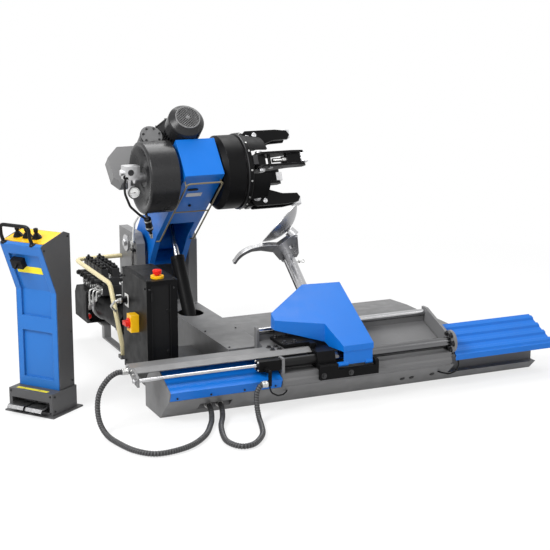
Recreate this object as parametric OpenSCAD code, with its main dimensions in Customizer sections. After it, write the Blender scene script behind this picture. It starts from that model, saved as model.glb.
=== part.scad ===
// Heavy duty tyre changer: a slant bed with a sliding tool carriage, a lifting chuck arm
// on a tower, a hydraulic unit, an electrical cabinet and a separate control pedestal.
// Places are measured from the bed's front left corner on the floor:
// X runs along the rails, Y to the back and Z up. All sizes are in millimetres.

/* [Bed] */
// Length of the bed along the rails
bed_len = 2320; // [2260:10:2400]
// Depth of the bed on the floor
bed_depth = 235; // [215:5:250]
// Height of the low base frame
base_h = 130; // [120:2:136]
// How far the front panel leans out over the floor edge
toe_reach = 142; // [120:2:150]
// Length of the folded left cover
cover_len = 636; // [560:4:636]
// Sheet thickness of the folded covers
sheet_t = 4; // [2:0.5:5]
// Length of the ribbed right cover
ribbed_len = 655; // [600:5:700]
// Number of ribs on the right cover
rib_count = 4; // [3:1:5]
// Height of the wheel platform
platform_h = 200; // [180:2:220]
// Width of the wheel platform along the rails
platform_w = 1290; // [1100:10:1340]
// Back edge of the wheel platform
platform_back = 1155; // [1000:5:1250]
// Height of the lift cylinder's housing
housing_h = 260; // [245:1:265]
// Width of the lift cylinder's housing
housing_w = 230; // [220:2:234]

/* [Rails] */
// Outer diameter of the front guide tube
front_bar_d = 55; // [50:1:58]
// Bore of the front guide tube
front_bar_bore = 42; // [36:1:44]
// Diameter of the rear rest bar
rear_bar_d = 38; // [32:1:42]
// Diameter of the piston rod
rod_d = 21; // [16:1:26]
// Diameter of the flange on the right end of the guide tube
flange_d = 130; // [110:2:140]
// Radial clearance of every shaft in its bore
running_gap = 0.05; // [0.02:0.01:0.1]

/* [Carriage and tool] */
// Length of the carriage on the guide tube
carriage_len = 356; // [340:2:366]
// Diameter of the tool post
post_d = 70; // [56:2:74]
// Angle of the tool post above the floor
post_tilt = 37; // [35:1:39]
// Diameter of the bead disc
disc_d = 290; // [240:5:300]
// Depth of the bead disc's dome
disc_dome = 62; // [45:1:70]
// Thickness of the tool head's plate
head_t = 26; // [18:1:30]

/* [Chuck arm] */
// Angle of the arm above the floor at rest
arm_tilt = 40.6; // [38:0.2:43]
// Width of the arm
arm_w = 240; // [216:4:248]
// Distance from the arm pivot to the spindle along the arm
spindle_s = 821; // [800:1:840]
// Diameter of the gearbox casing
gearbox_d = 420; // [380:5:430]
// Diameter of the chuck drum
chuck_d = 440; // [400:5:450]
// Number of cooling fins round the motor
fin_count = 28; // [16:2:36]
// Diameter of the motor's body
motor_d = 190; // [170:2:200]
// Diameter of the lift cylinder's barrel
lift_d = 82; // [70:1:88]
// Diameter of the lift cylinder's rod
lift_rod_d = 36; // [28:1:44]

/* [Cabinet and pedestal] */
// Width of the electrical cabinet
cabinet_w = 175; // [150:5:190]
// Depth of the electrical cabinet
cabinet_depth = 410; // [360:5:420]
// Top of the electrical cabinet above the floor
cabinet_top = 700; // [620:5:760]
// Width of the pedestal's base plate
pedestal_w = 325; // [300:5:360]
// Depth of the pedestal's base plate
pedestal_depth = 262; // [250:2:290]
// Height of the pedestal's front edge
pedestal_h = 930; // [860:5:980]

/* [Hidden] */
$fn = 48;

// Part origin: middle of the bed's floor face
origin_x = 1160;
origin_y = 120;

// Gap kept between neighbours that don't slide on each other
part_gap = 0.4;
// Small overrun of a cut past a face
over = 1;
// How much thicker an elbow is than its bar
elbow_swell = 1.6;

// Bed section, as (y, z)
nose = [-164, 181];
crest = [83, 295];
ledge_y = -150;
ledge_top = 205;
bed_x0 = 640;
bed_x1 = 1690;
slope_low = [-60, 222];
slope_high = [200, 318];
ribbed_x0 = 1716;
ribbed_low = [-160, 186];
ribbed_high = [102, 296];

// Guide tube and rest bar
bar_y = -110;
bar_z = 256;
rest_y = 186;
rest_z = 360;
rest_x0 = bed_x0;
plate_x0 = 642;
plate_t = 14;
end_x0 = 1696;
end_t = 16;
gland_x0 = 510;
gland_x1 = plate_x0 - 2;
elbow_at = [552, -185, 236];
piston_x = 900;

// Carriage, beam and tool arm
carriage_x = 850;
beam_x0 = -160;
end_plate_t = 12;
beam_front = [-78, 287];
beam_crease = [-38, 306];
beam_back = 50;
carriage_block_w = 106;
lug_t = 20;
hinge_y = -160;
hinge_z = 222;
hinge_d = 12;
knuckle_d = 26;
post_x = 1000;
post_y = 425;
post_z = 566;
post_below = 190;
post_above = 175;
hood_t = 4;
hood_slope = 0.515;
hood_right = carriage_x + carriage_len - lug_t - 6;

// Chuck arm: s runs from the pivot towards the head, n is square to it, upwards
pivot_y = 1620;
pivot_z = 615;
arm_x0 = 440;
arm_end_s = 1012;
arm_top_n = 97;
arm_low_n = -153;
arm_wall = 12;
arm_outline = [[-arm_end_s, arm_low_n], [-arm_end_s, arm_top_n], [-140, arm_top_n], [60, 70], [95, 0], [60,
    -90],
               [-20, -222], [-300, arm_low_n]];
spindle_n = -26;
spindle_d = 120;
gearbox_x0 = 243;
gearbox_x1 = 420;
worm_x = 352;
worm_n = 214;
worm_d = 128;
worm_s1 = 878;
guard_s0 = 550;
guard_s1 = 628;
motor_x = 527;
motor_n = 207;
motor_s0 = 690;
fan_s0 = 955;
fan_s1 = 1073;
fan_d = motor_d + 26;
fan_t = 3;
pin_d = 70;
boss_d = 130;
cheek_t = 56;
cheek_gap = 24;
tower_y0 = 1430;
tower_y1 = 1770;
tower_h = 700;
tower_left = arm_x0 - cheek_gap - cheek_t;

// Lift cylinder
lift_x = 575;
housing_x0 = lift_x + 25 - housing_w / 2;
tower_front = 1330;
foot_y = 988;
foot_z = 100;
foot_pin_d = 40;
rod_pin_s = 261;
rod_pin_n = 13;
rod_pin_d = 30;
barrel_len = 556;

// Chuck
chuck_x0 = 690;
chuck_x1 = 830;
ring_x1 = 870;
jaw_x = 930;
jaw_r = 180;
jaw_turn = 16;
jaw_pin_d = 32;
lug_w = 60;
jaw_plate_t = 14;

// Cabinet
cabinet_y0 = 195;
estop_at = [85, 262];
switch_at = [367, 438];

// Hydraulic unit
pump_x = 142;
pump_z = 278;
pump_d = 150;
pump_y0 = 900;
pump_y1 = 1420;
tank_y0 = 1478;
tank_z = [155, 355];

// Pedestal, in its own turned frame
pedestal_at = [-724, 466];
pedestal_turn = 52.9;
pedestal_foot = 128;
shell_in = 26;
shell_t = 4;
top_t = 6;
top_line = [[10, pedestal_h + 13], [170, pedestal_h + 46]];
ball_d = 30;
stick_share = 0.38;
stick_pitch = 62;
pedal_y = 76;
pedal_z = 51;
pedal_pin_d = 10;

// Hoses: outer diameter, bore and routes, from the front panel's slot
hose_d = 30;
hose_bore = 20;
rib_depth = 1.6;
rib_pitch = 20;
route_long = [[246, -40, 58], [246, -76, 57], [238, -122, 46], [222, -172, 29], [188, -245, 17], [93, -404,
    17],
              [-43, -522, 17], [-209, -556, 17], [-300, -470, 17], [-348, -305, 17], [-364, -195, 25],
                  [-372, -118, 62],
              [-370, -76, 130], [-350, -56, 204], [-302, -42, 262], [-254, -29, 286], [-222, -25, 288],
              [-186, -25, 288]];
route_short = [[310, -40, 58], [310, -76, 57], [300, -125, 45], [276, -190, 26], [222, -305, 17], [170,
    -480, 17],
               [172, -570, 17], [206, -625, 17], [264, -622, 17], [322, -570, 17], [380, -482, 17], [426,
                   -355, 17],
               [444, -285, 30], [452, -240, 78], [464, -208, 130], [486, -192, 162], [508, -186, 173],
               [536, -185, 174]];

// Helpers
function unit(v) = v / norm(v);
function left_of(v) = [-v[1], v[0]];
function mitre(a, b, c, t) =
    let (n1 = left_of(unit(b - a)), n2 = left_of(unit(c - b)))
    b + t * (n1 + n2) / (1 + n1 * n2);
function offset_line(p, t) =
    let (last = len(p) - 1)
    [for (i = [0 : last])
        i == 0 ? p[0] + t * left_of(unit(p[1] - p[0]))
        : i == last ? p[last] + t * left_of(unit(p[last] - p[last - 1]))
        : mitre(p[i - 1], p[i], p[i + 1], t)];
function offset_loop(p, t) =
    let (count = len(p))
    [for (i = [0 : count - 1]) mitre(p[(i + count - 1) % count], p[i], p[(i + 1) % count], t)];
function flip(p) = [for (i = [len(p) - 1 : -1 : 0]) p[i]];
function arc(c, r, a0, a1, steps) =
    [for (i = [0 : steps]) let (a = a0 + (a1 - a0) * i / steps) c + r * [cos(a), sin(a)]];

function slope_z(y) =
    slope_low[1] + (y - slope_low[0]) * (slope_high[1] - slope_low[1]) / (slope_high[0] - slope_low[0]);

// A sheet folded along a line, t thick to its left
module folded(line, t) {
    polygon(concat(line, flip(offset_line(line, t))));
}

// A (y, z) section drawn out along X
module along_x(x0, x1) {
    translate([x0, 0, 0]) rotate([90, 0, 90]) linear_extrude(x1 - x0) children();
}

module rod_x(x0, x1, y, z, d) {
    translate([x0, y, z]) rotate([0, 90, 0]) cylinder(d = d, h = x1 - x0);
}

module rod_between(a, b, d) {
    v = b - a;
    translate(a) rotate([0, acos(v[2] / norm(v)), atan2(v[1], v[0])]) cylinder(d = d, h = norm(v));
}

// Round bar through a list of points, with round elbows
module bent_bar(points, d) {
    for (i = [0 : len(points) - 2]) rod_between(points[i], points[i + 1], d);
    for (i = [1 : len(points) - 2]) translate(points[i]) sphere(d = d + elbow_swell);
}

module block(a, b) {
    translate(a) cube(b - a);
}

// Frames of the moving groups
module on_arm() {
    translate([0, pivot_y, pivot_z]) rotate([-arm_tilt, 0, 0]) children();
}

module on_spindle() {
    on_arm() translate([0, -spindle_s, spindle_n]) children();
}

module on_motor() {
    on_arm() translate([motor_x, 0, motor_n]) rotate([90, 0, 0]) children();
}

module on_post() {
    translate([post_x, post_y, post_z]) rotate([post_tilt - 90, 0, 0]) children();
}

module on_pedestal() {
    translate([pedestal_at[0], pedestal_at[1], 0]) rotate([0, 0, -pedestal_turn]) children();
}

module place() {
    translate([-origin_x, -origin_y, 0]) children();
}

// Smooth curve through a route, and rings round it
function spline_at(p, i, t) =
    let (last = len(p) - 1, a = p[max(i - 1, 0)], b = p[i], c = p[min(i + 1, last)], d = p[min(i + 2, last)])
    0.5 * (2 * b + (c - a) * t + (2 * a - 5 * b + 4 * c - d) * t * t + (3 * b - a - 3 * c + d) * t * t * t);
function spread(p, pitch) =
    concat([for (i = [0 : len(p) - 2])
        let (count = max(1, round(norm(p[i + 1] - p[i]) / pitch)))
        for (k = [0 : count - 1]) spline_at(p, i, k / count)], [p[len(p) - 1]]);
function heading(path, i) = unit(path[min(i + 1, len(path) - 1)] - path[max(i - 1, 0)]);
function ring(c, dir, r, sides) =
    let (u = unit(cross(dir, abs(dir[2]) < 0.9 ? [0, 0, 1] : [1, 0, 0])), v = cross(dir, u))
    [for (k = [0 : sides - 1]) c + r * (u * cos(360 * k / sides) + v * sin(360 * k / sides))];
function least_gap(path, d) =
    min([for (i = [0 : len(path) - 1]) for (j = [i + 1 : 1 : len(path) - 1])
        if (j - i > 4) norm(path[i] - path[j]) - d]);
function hose_length(path) = len(path) < 2 ? 0 : [for (i = [1 : len(path) - 1]) norm(path[i] - path[i - 1])] *
    [for (i = [1 : len(path) - 1]) 1];

// Hose with ribs outside and a smooth bore
module ribbed_hose(route) {
    sides = 8;
    path = spread(route, rib_pitch / 2);
    count = len(path);
    last = count - 1;
    outer = [for (i = [0 : last])
        let (rib = (i % 2 == 0 || i < 3 || i > last - 3) ? 0 : rib_depth)
        each ring(path[i], heading(path, i), hose_d / 2 - rib, sides)];
    inner_at = [for (i = [0 : 2 : last]) i == last - 1 ? last : i];
    stations = inner_at[len(inner_at) - 1] == last ? inner_at : concat(inner_at, [last]);
    inner = [for (i = stations) each ring(path[i], heading(path, i), hose_bore / 2, sides)];
    base = count * sides;
    inner_count = len(stations);
    outer_faces = [for (i = [0 : last - 1]) for (k = [0 : sides - 1])
        let (a = i * sides + k, b = i * sides + (k + 1) % sides)
        each [[a, b, b + sides], [a, b + sides, a + sides]]];
    inner_faces = [for (i = [0 : inner_count - 2]) for (k = [0 : sides - 1])
        let (a = base + i * sides + k, b = base + i * sides + (k + 1) % sides)
        each [[a, b + sides, b], [a, a + sides, b + sides]]];
    end_o = last * sides;
    end_i = base + (inner_count - 1) * sides;
    start_faces = [for (k = [0 : sides - 1]) let (m = (k + 1) % sides)
        each [[k, base + k, base + m], [k, base + m, m]]];
    end_faces = [for (k = [0 : sides - 1]) let (m = (k + 1) % sides)
        each [[end_o + k, end_i + m, end_i + k], [end_o + k, end_o + m, end_i + m]]];
    echo(hose_mm = hose_length(path), least_gap_mm = least_gap(path, hose_d));
    polyhedron(concat(outer, inner), concat(outer_faces, inner_faces, start_faces, end_faces));
}

// Bed and base
module base_frame() {
    slot_x = [190, 376];
    slot_z = [36, 80];
    slot_back = -40;
    foot_x0 = 110;
    foot_back = 840;
    stub_x0 = 35;
    stub_w = 55;
    rail_w = 18;
    rail_in = sheet_t + 3;
    housing_x1 = housing_x0 + housing_w;
    tower_x = [330, 790];
    tower_back = 1810;
    lug_in = lift_d / 2 + 6;
    lug_r = 46;
    floor_t = 10;
    floor_reach = 90;
    short_toe = 60;
    short_h = 56;
    wall_t = 10;
    run = ribbed_high - ribbed_low;
    seat = left_of(unit(run)) * (sheet_t + part_gap);
    color([0.36, 0.37, 0.38]) difference() {
        union() {
            along_x(0, ribbed_x0) polygon([[0, 0], [-toe_reach, base_h - 2], [-toe_reach, base_h],
                                           [bed_depth, base_h], [bed_depth, 0]]);
            along_x(ribbed_x0, bed_len) polygon([[0, 0], [-short_toe, short_h], [-short_toe / 6, short_h],
                                                 [-short_toe / 6, base_h], [bed_depth, base_h], [bed_depth,
                                                     0]]);
            along_x(-sheet_t, 0) polygon([[0, 0], [-toe_reach, base_h - 2], nose, crest,
                                          [bed_depth, base_h + 12], [bed_depth, 0]]);
            for (x = [ribbed_x0, bed_len - wall_t]) along_x(x, x + wall_t)
                polygon([[-short_toe / 6, base_h], ribbed_low + run * 0.08 - seat,
                    ribbed_low + run * 0.92 - seat,
                         [crest[0], base_h]]);
            block([foot_x0, bed_depth, 0], [housing_x0, foot_back, base_h]);
            block([stub_x0, foot_back - stub_w - 10, base_h - 20], [foot_x0, foot_back - 10, base_h]);
            block([tower_x[0], tower_front, 0], [tower_x[1], tower_back, base_h]);
            for (x = [housing_x0 + rail_in, housing_x1 - rail_in - rail_w])
                block([x, bed_depth, 0], [x + rail_w, tower_front, base_h]);
            block([housing_x0 + rail_in, foot_y - floor_reach, 0], [housing_x1 - rail_in,
                foot_y + floor_reach, floor_t]);
            for (x = [lift_x - lug_in - lug_t, lift_x + lug_in]) along_x(x, x + lug_t) {
                translate([foot_y, foot_z]) circle(r = lug_r);
                translate([foot_y - lug_r, 0]) square([2 * lug_r, foot_z]);
            }
        }
        block([slot_x[0], -2 * toe_reach, slot_z[0]], [slot_x[1], slot_back, slot_z[1]]);
        rod_x(lift_x - lug_in - 2 * lug_t, lift_x + lug_in + 2 * lug_t, foot_y, foot_z,
            foot_pin_d + 2 * running_gap);
    }
}

module front_cover() {
    line = [[-toe_reach, base_h + part_gap], nose, crest, crest + [14, -30]];
    color([0.03, 0.36, 0.80]) along_x(part_gap, cover_len) folded(line, -sheet_t);
}

module slant_bed() {
    strip = [rest_y - 10, rest_y + 10];
    strip_top = rest_z - rear_bar_d / 2 - part_gap;
    color([0.45, 0.46, 0.47]) along_x(bed_x0, bed_x1)
        polygon([[-toe_reach, base_h], [ledge_y - 8, base_h + 20], [ledge_y - 8, base_h + 36], [ledge_y,
            base_h + 46],
                 [ledge_y, ledge_top], [slope_low[0], ledge_top], slope_low, [strip[0], slope_z(strip[0])],
                 [strip[0], strip_top], [strip[1], strip_top], [strip[1], slope_z(strip[1])], slope_high,
                 [slope_high[0], base_h]]);
}

module front_guide_tube() {
    color([0.80, 0.81, 0.82]) difference() {
        rod_x(gland_x1, end_x0, bar_y, bar_z, front_bar_d);
        rod_x(gland_x1 - over, end_x0 - 20, bar_y, bar_z, front_bar_bore);
    }
}

module rear_rest_bar() {
    color([0.85, 0.86, 0.87]) rod_x(rest_x0, end_x0, rest_y, rest_z, rear_bar_d);
}

module bar_brackets() {
    tube_hole = front_bar_d + 0.2;
    post_w = 24;
    post_t = 14;
    color([0.55, 0.56, 0.57]) {
        difference() {
            along_x(plate_x0, plate_x0 + plate_t)
                polygon([[ledge_y + 4, ledge_top], [ledge_y + 4, bar_z + 34], [bar_y + 14, bar_z + 34],
                         [bar_y + 32, bar_z + 14], [bar_y + 32, ledge_top]]);
            rod_x(plate_x0 - over, plate_x0 + plate_t + over, bar_y, bar_z, tube_hole);
        }
        rod_x(end_x0, end_x0 + end_t, bar_y, bar_z, flange_d);
        along_x(end_x0, end_x0 + end_t)
            polygon([[-8, base_h], [bar_y, bar_z - 30], [bar_y, bar_z + 30], [rest_y - post_w, rest_z + 30],
                     [rest_y + post_w, rest_z + 30], [rest_y + post_w, base_h]]);
        along_x(rest_x0 - post_t, rest_x0)
            polygon([[rest_y - post_w, base_h], [rest_y - post_w, rest_z + 12], [rest_y - post_w / 2,
                rest_z + post_w],
                     [slope_high[0], rest_z + post_w], [slope_high[0], base_h]]);
    }
}

module gland_block() {
    front = -138;
    back = -84;
    foot = 226;
    pipe_d = 20;
    nut_d = hose_d + 4;
    hose_end = route_short[len(route_short) - 1];
    color([0.07, 0.07, 0.08]) difference() {
        union() {
            block([gland_x0, front, foot], [gland_x1, back, bar_z + 26]);
            translate([elbow_at[0], front, elbow_at[2]]) rotate([90, 0, 0]) cylinder(d = pipe_d + 8, h = 14);
            bent_bar([[elbow_at[0], front, elbow_at[2]], elbow_at, [elbow_at[0], elbow_at[1],
                hose_end[2] - 14]],
                     pipe_d);
            rod_x(hose_end[0], elbow_at[0], hose_end[1], hose_end[2], nut_d);
        }
        rod_x(gland_x0 - over, gland_x1 + over, bar_y, bar_z, rod_d + 2 * running_gap);
    }
}

module ribbed_cover() {
    run = ribbed_high - ribbed_low;
    up = left_of(unit(run));
    rib_h = 9;
    hem = 32;
    share = run / rib_count;
    ribs = [for (i = [0 : rib_count - 1])
        each [ribbed_low + share * (i + 0.2), ribbed_low + share * (i + 0.35) + rib_h * up,
              ribbed_low + share * (i + 0.65) + rib_h * up, ribbed_low + share * (i + 0.8)]];
    line = concat([ribbed_low + [4, -hem], ribbed_low], ribs, [ribbed_high, ribbed_high + [8, -hem]]);
    color([0.03, 0.36, 0.80])
        along_x(ribbed_x0 + part_gap, ribbed_x0 + ribbed_len) folded(line, -sheet_t);
}

module wheel_platform() {
    x0 = housing_x0 + housing_w;
    y0 = bed_depth;
    fold_y = 930;
    drop = 14;
    color([0.36, 0.36, 0.37]) difference() {
        along_x(x0, x0 + platform_w)
            polygon([[y0, 0], [y0, platform_h], [fold_y, platform_h], [platform_back, platform_h - drop],
                     [platform_back, 0]]);
        along_x(x0 + sheet_t, x0 + platform_w - sheet_t)
            polygon([[y0 + sheet_t, -over], [y0 + sheet_t, platform_h - sheet_t], [fold_y,
                platform_h - sheet_t],
                     [platform_back - sheet_t, platform_h - drop - sheet_t], [platform_back - sheet_t,
                         -over]]);
    }
}

module lift_housing() {
    x1 = housing_x0 + housing_w;
    hole_w = 150;
    hole_len = 176;
    hole_at = [lift_x + 8, 1086];
    slide = (hole_len - hole_w) / 2;
    color([0.58, 0.59, 0.60]) difference() {
        block([housing_x0, bed_depth, 0], [x1, tower_front, housing_h]);
        block([housing_x0 + sheet_t, bed_depth + sheet_t, -over],
              [x1 - sheet_t, tower_front - sheet_t, housing_h - sheet_t]);
        block([housing_x0 + sheet_t, bed_depth - over, -over],
              [x1 - sheet_t, tower_front + over, base_h + part_gap]);
        translate([0, 0, housing_h - 2 * sheet_t]) linear_extrude(3 * sheet_t) translate(hole_at) {
            translate([0, -slide]) circle(d = hole_w);
            translate([0, slide]) circle(d = hole_w);
            square([hole_w, 2 * slide], center = true);
        }
    }
}

module tower() {
    right_x = arm_x0 + arm_w + cheek_gap;
    back_t = 20;
    color([0.42, 0.43, 0.44]) difference() {
        union() {
            for (x = [tower_left, right_x]) along_x(x, x + cheek_t)
                polygon([[tower_y0, base_h], [tower_y0, tower_h - 60], [tower_y0 + 60, tower_h],
                         [tower_y1, tower_h], [tower_y1, base_h]]);
            block([tower_left + cheek_t, tower_y1 - back_t, base_h], [right_x, tower_y1, 430]);
            block([tower_left + cheek_t, tower_y0 + 20, base_h], [right_x, tower_y0 + 20 + back_t, 250]);
        }
        rod_x(tower_left - over, right_x + cheek_t + over, pivot_y, pivot_z, pin_d + 2 * running_gap);
    }
}

module pivot_pins() {
    right_x = arm_x0 + arm_w + cheek_gap + cheek_t;
    cap_t = 10;
    cap_d = pin_d + 36;
    nut_t = 14;
    nut_d = 46;
    foot_reach = lift_d / 2 + 6 + lug_t + 6;
    color([0.72, 0.73, 0.74]) {
        rod_x(tower_left, right_x, pivot_y, pivot_z, pin_d);
        rod_x(tower_left - cap_t, tower_left, pivot_y, pivot_z, cap_d);
        translate([tower_left - cap_t - nut_t, pivot_y, pivot_z]) rotate([0, 90, 0]) cylinder(d = nut_d,
            h = nut_t, $fn = 6);
        rod_x(right_x, right_x + cap_t, pivot_y, pivot_z, cap_d);
        rod_x(lift_x - foot_reach, lift_x + foot_reach, foot_y, foot_z, foot_pin_d);
    }
}

// Cabinet
module control_cabinet() {
    recess = [32, 132];
    recess_d = 14;
    lid_t = 6;
    y1 = cabinet_y0 + cabinet_depth;
    plug = [534, 524];
    color([0.09, 0.09, 0.10]) {
        difference() {
            block([0, cabinet_y0, base_h], [cabinet_w, y1, cabinet_top - lid_t]);
            block([recess[0], cabinet_y0 - over, base_h + 20],
                  [recess[1], cabinet_y0 + recess_d, cabinet_top - lid_t - 20]);
        }
        block([-3, cabinet_y0 - 3, cabinet_top - lid_t], [cabinet_w + 3, y1 + 3, cabinet_top]);
        translate([0, plug[0], plug[1]]) rotate([0, -90, 0]) cylinder(d = 46, h = 8);
        translate([-8, plug[0], plug[1]]) rotate([0, -90, 0]) cylinder(d = 26, h = 26);
    }
}

module cabinet_cover() {
    color([0.03, 0.03, 0.035])
        block([32 + part_gap, cabinet_y0 + 8, base_h + 20 + part_gap],
              [132 - part_gap, cabinet_y0 + 14, cabinet_top - 26 - part_gap]);
}

module safety_bases() {
    color([0.95, 0.78, 0.05]) {
        difference() {
            translate([estop_at[0], estop_at[1], cabinet_top]) cylinder(d = 72, h = 14);
            translate([estop_at[0], estop_at[1], cabinet_top + 2]) cylinder(d = 20 + 2 * running_gap, h = 30);
        }
        difference() {
            block([-46, switch_at[0] - 36, switch_at[1] - 48], [0, switch_at[0] + 36, switch_at[1] + 48]);
            translate([-47, switch_at[0], switch_at[1]]) rotate([0, 90, 0])
                cylinder(d = 16 + 2 * running_gap, h = 30);
        }
    }
}

module switch_knob() {
    color([0.85, 0.06, 0.06]) translate([-46 - part_gap, switch_at[0], switch_at[1]]) rotate([0, -90, 0]) {
        cylinder(d = 58, h = 8);
        translate([-11, -29, 8]) cube([22, 58, 20]);
        translate([0, 0, -20]) cylinder(d = 16, h = 21);
    }
}

module estop_button() {
    color([0.88, 0.10, 0.06]) translate([estop_at[0], estop_at[1], cabinet_top + 14]) {
        translate([0, 0, 8]) rotate_extrude() polygon(concat([[0, 0], [22, 0]], arc([17, 17], 8, 0, 90, 4),
            [[0, 27]]));
        translate([0, 0, -5]) cylinder(d = 20, h = 14);
    }
}

// Hydraulic unit
module hydraulic_tank() {
    tank_x = [45, 235];
    chamfer = 40;
    back = tank_y0 + 260;
    color([0.06, 0.06, 0.065]) along_x(tank_x[0], tank_x[1])
        polygon([[tank_y0, tank_z[0]], [tank_y0, tank_z[1]], [back - chamfer, tank_z[1]],
                 [back, tank_z[1] - chamfer - 10], [back, tank_z[0]]]);
}

module on_pump(y) {
    translate([pump_x, y, pump_z]) rotate([-90, 0, 0]) children();
}

module pump_motor() {
    flange = 40;
    box = [60, 110, 54];
    color([0.10, 0.10, 0.11]) {
        on_pump(pump_y0) cylinder(d = pump_d, h = pump_y1 - pump_y0 - flange);
        on_pump(pump_y1 - flange) cylinder(d = pump_d + 14, h = flange);
        on_pump(pump_y1) cylinder(d = pump_d - 54, h = tank_y0 - pump_y1);
        on_pump(pump_y0 - 22) cylinder(d = pump_d - 24, h = 22);
        translate([pump_x - box[0] / 2, pump_y0 + 180, pump_z + pump_d / 2 - 20]) cube(box);
    }
}

module valve_stack() {
    coil = [44, 62, 52];
    rows = 5;
    pitch = 74;
    mid_x = 150;
    half_w = 60;
    y0 = 1280;
    y1 = 1694;
    foot_h = 14;
    z1 = tank_z[1] + 70;
    z2 = z1 + 50;
    color([0.30, 0.30, 0.31]) {
        block([mid_x - half_w, tank_y0 + 6, tank_z[1]], [mid_x + half_w, y1, tank_z[1] + foot_h]);
        block([mid_x - half_w, y0, tank_z[1] + foot_h], [mid_x + half_w, y1, z1]);
        block([mid_x - half_w + 12, y0 + 8, z1], [mid_x + half_w - 12, y1 - 8, z2]);
        for (i = [0 : rows - 1]) for (side = [-1, 1]) {
            y = y0 + 30 + i * pitch;
            translate([mid_x + side * (half_w - 14), y + coil[1] / 2, z1 + 24]) rotate([0, side * 90, 0])
                cylinder(d = 30, h = 54);
            block([mid_x + side * 36 - coil[0] / 2, y, z2 - 12],
                  [mid_x + side * 36 + coil[0] / 2, y + coil[1], z2 + coil[2]]);
        }
    }
}

module pump_bracket() {
    strap = 44;
    t = 10;
    arm_y1 = tank_y0 + 120;
    post_y1 = tank_y0 - 60;
    front_y = 1020;
    low_z = 70;
    x0 = pump_x - strap / 2;
    x1 = pump_x + strap / 2;
    color([0.50, 0.51, 0.52]) {
        block([x0, post_y1, tank_z[0] - t], [tower_left, arm_y1, tank_z[0]]);
        block([tower_left - t, arm_y1 - 70, base_h], [tower_left, arm_y1, tank_z[0] - t]);
        block([x0, post_y1 - strap, low_z], [x1, post_y1, tank_z[0]]);
        block([x0, front_y, low_z], [x1, post_y1 - strap, low_z + t]);
        block([x0, front_y, low_z + t], [x1, front_y + t, pump_z - pump_d / 2 - part_gap]);
    }
}

module guard_tube() {
    d = 28;
    x = 55;
    back_y = tower_y1 - 30;
    color([0.87, 0.83, 0.62]) bent_bar([[tower_left, back_y, 508], [x, back_y, 508], [x, 1020, 508],
                                        [x, 802, base_h + 40], [x, 802, base_h]], d);
}

// Pedestal
module pedestal_base() {
    plate_t = 8;
    box_back = 232;
    inset = 18;
    window = [inset + 20, plate_t + 16];
    window_h = 56;
    window_depth = 90;
    drum_d = 70;
    color([0.30, 0.31, 0.32]) on_pedestal() {
        difference() {
            union() {
                cube([pedestal_w, pedestal_depth, plate_t]);
                translate([inset, inset, plate_t]) cube([pedestal_w - 2 * inset, box_back - inset,
                    pedestal_foot - plate_t]);
                translate([inset + 30, box_back - 4, plate_t + 40]) rotate([0, 90, 0])
                    cylinder(d = drum_d, h = pedestal_w - 2 * inset - 60);
            }
            translate([window[0], inset - over, window[1]])
                cube([pedestal_w - 2 * window[0], window_depth, window_h]);
        }
        rod_x(window[0], pedestal_w - window[0], pedal_y, pedal_z, pedal_pin_d);
    }
}

// Side outline of the pedestal, as (y, z), and its leaning front face
pedestal_side = [[100, pedestal_foot], [100, 660], [-16, pedestal_h], [-10, pedestal_h + 8], [176,
    pedestal_h + 52],
                 [226, pedestal_h + 34], [226, pedestal_foot]];
pedestal_face = [[96, pedestal_foot], [96, 661], [-20, pedestal_h]];
face_up = unit(pedestal_face[2] - pedestal_face[1]);
face_in = -left_of(face_up);
face_len = norm(pedestal_face[2] - pedestal_face[1]);
front_depth = 26;
front_sink = 14;

module pedestal_shell() {
    color([0.33, 0.34, 0.35]) on_pedestal() {
        for (x = [shell_in, pedestal_w - shell_in - shell_t]) along_x(x, x + shell_t) polygon(pedestal_side);
        along_x(shell_in + shell_t / 2, pedestal_w - shell_in - shell_t / 2)
            folded([pedestal_side[4] + [2, -8], pedestal_side[5] + [-1, -1], pedestal_side[6] + [-1, 1]],
                -shell_t);
    }
}

module pedestal_front() {
    x0 = shell_in + shell_t + part_gap;
    x1 = pedestal_w - x0;
    frame = 34;
    lower = [180, 440];
    upper_z = 520;
    upper_len = face_len - 60;
    start = [pedestal_face[0][0], upper_z];
    color([0.05, 0.40, 0.84]) on_pedestal() difference() {
        along_x(x0, x1) folded(pedestal_face, -front_depth);
        block([x0 + frame, pedestal_face[0][0] - over, lower[0]], [x1 - frame,
            pedestal_face[0][0] + front_sink, lower[1]]);
        along_x(x0 + frame, x1 - frame)
            folded(offset_line([start, pedestal_face[1], pedestal_face[1] + face_up * upper_len], over),
                   -front_sink - over);
    }
}

module pedestal_top() {
    x0 = shell_in + shell_t + part_gap;
    color([0.96, 0.74, 0.05]) on_pedestal() difference() {
        along_x(x0, pedestal_w - x0) folded(top_line, -top_t);
        for (i = [0 : 2]) on_stick(i) sphere(d = ball_d + 2 * part_gap);
    }
}

// Seat of a joystick on the sloping panel
module on_stick(i) {
    run = top_line[1] - top_line[0];
    at = top_line[0] + run * stick_share;
    translate([pedestal_w / 2 + (i - 1) * stick_pitch - 20, at[0], at[1]])
        rotate([atan2(run[1], run[0]), 0, 0]) children();
}

module joystick(i) {
    stem_d = 11;
    stem_h = 52;
    grip_z = 30;
    color([0.04, 0.04, 0.045]) on_pedestal() on_stick(i) {
        sphere(d = ball_d);
        cylinder(d = stem_d, h = stem_h);
        translate([0, 0, grip_z]) rotate_extrude() polygon([[0, 0], [9, 0], [13, 12], [12, 24], [0, 28]]);
    }
}

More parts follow.
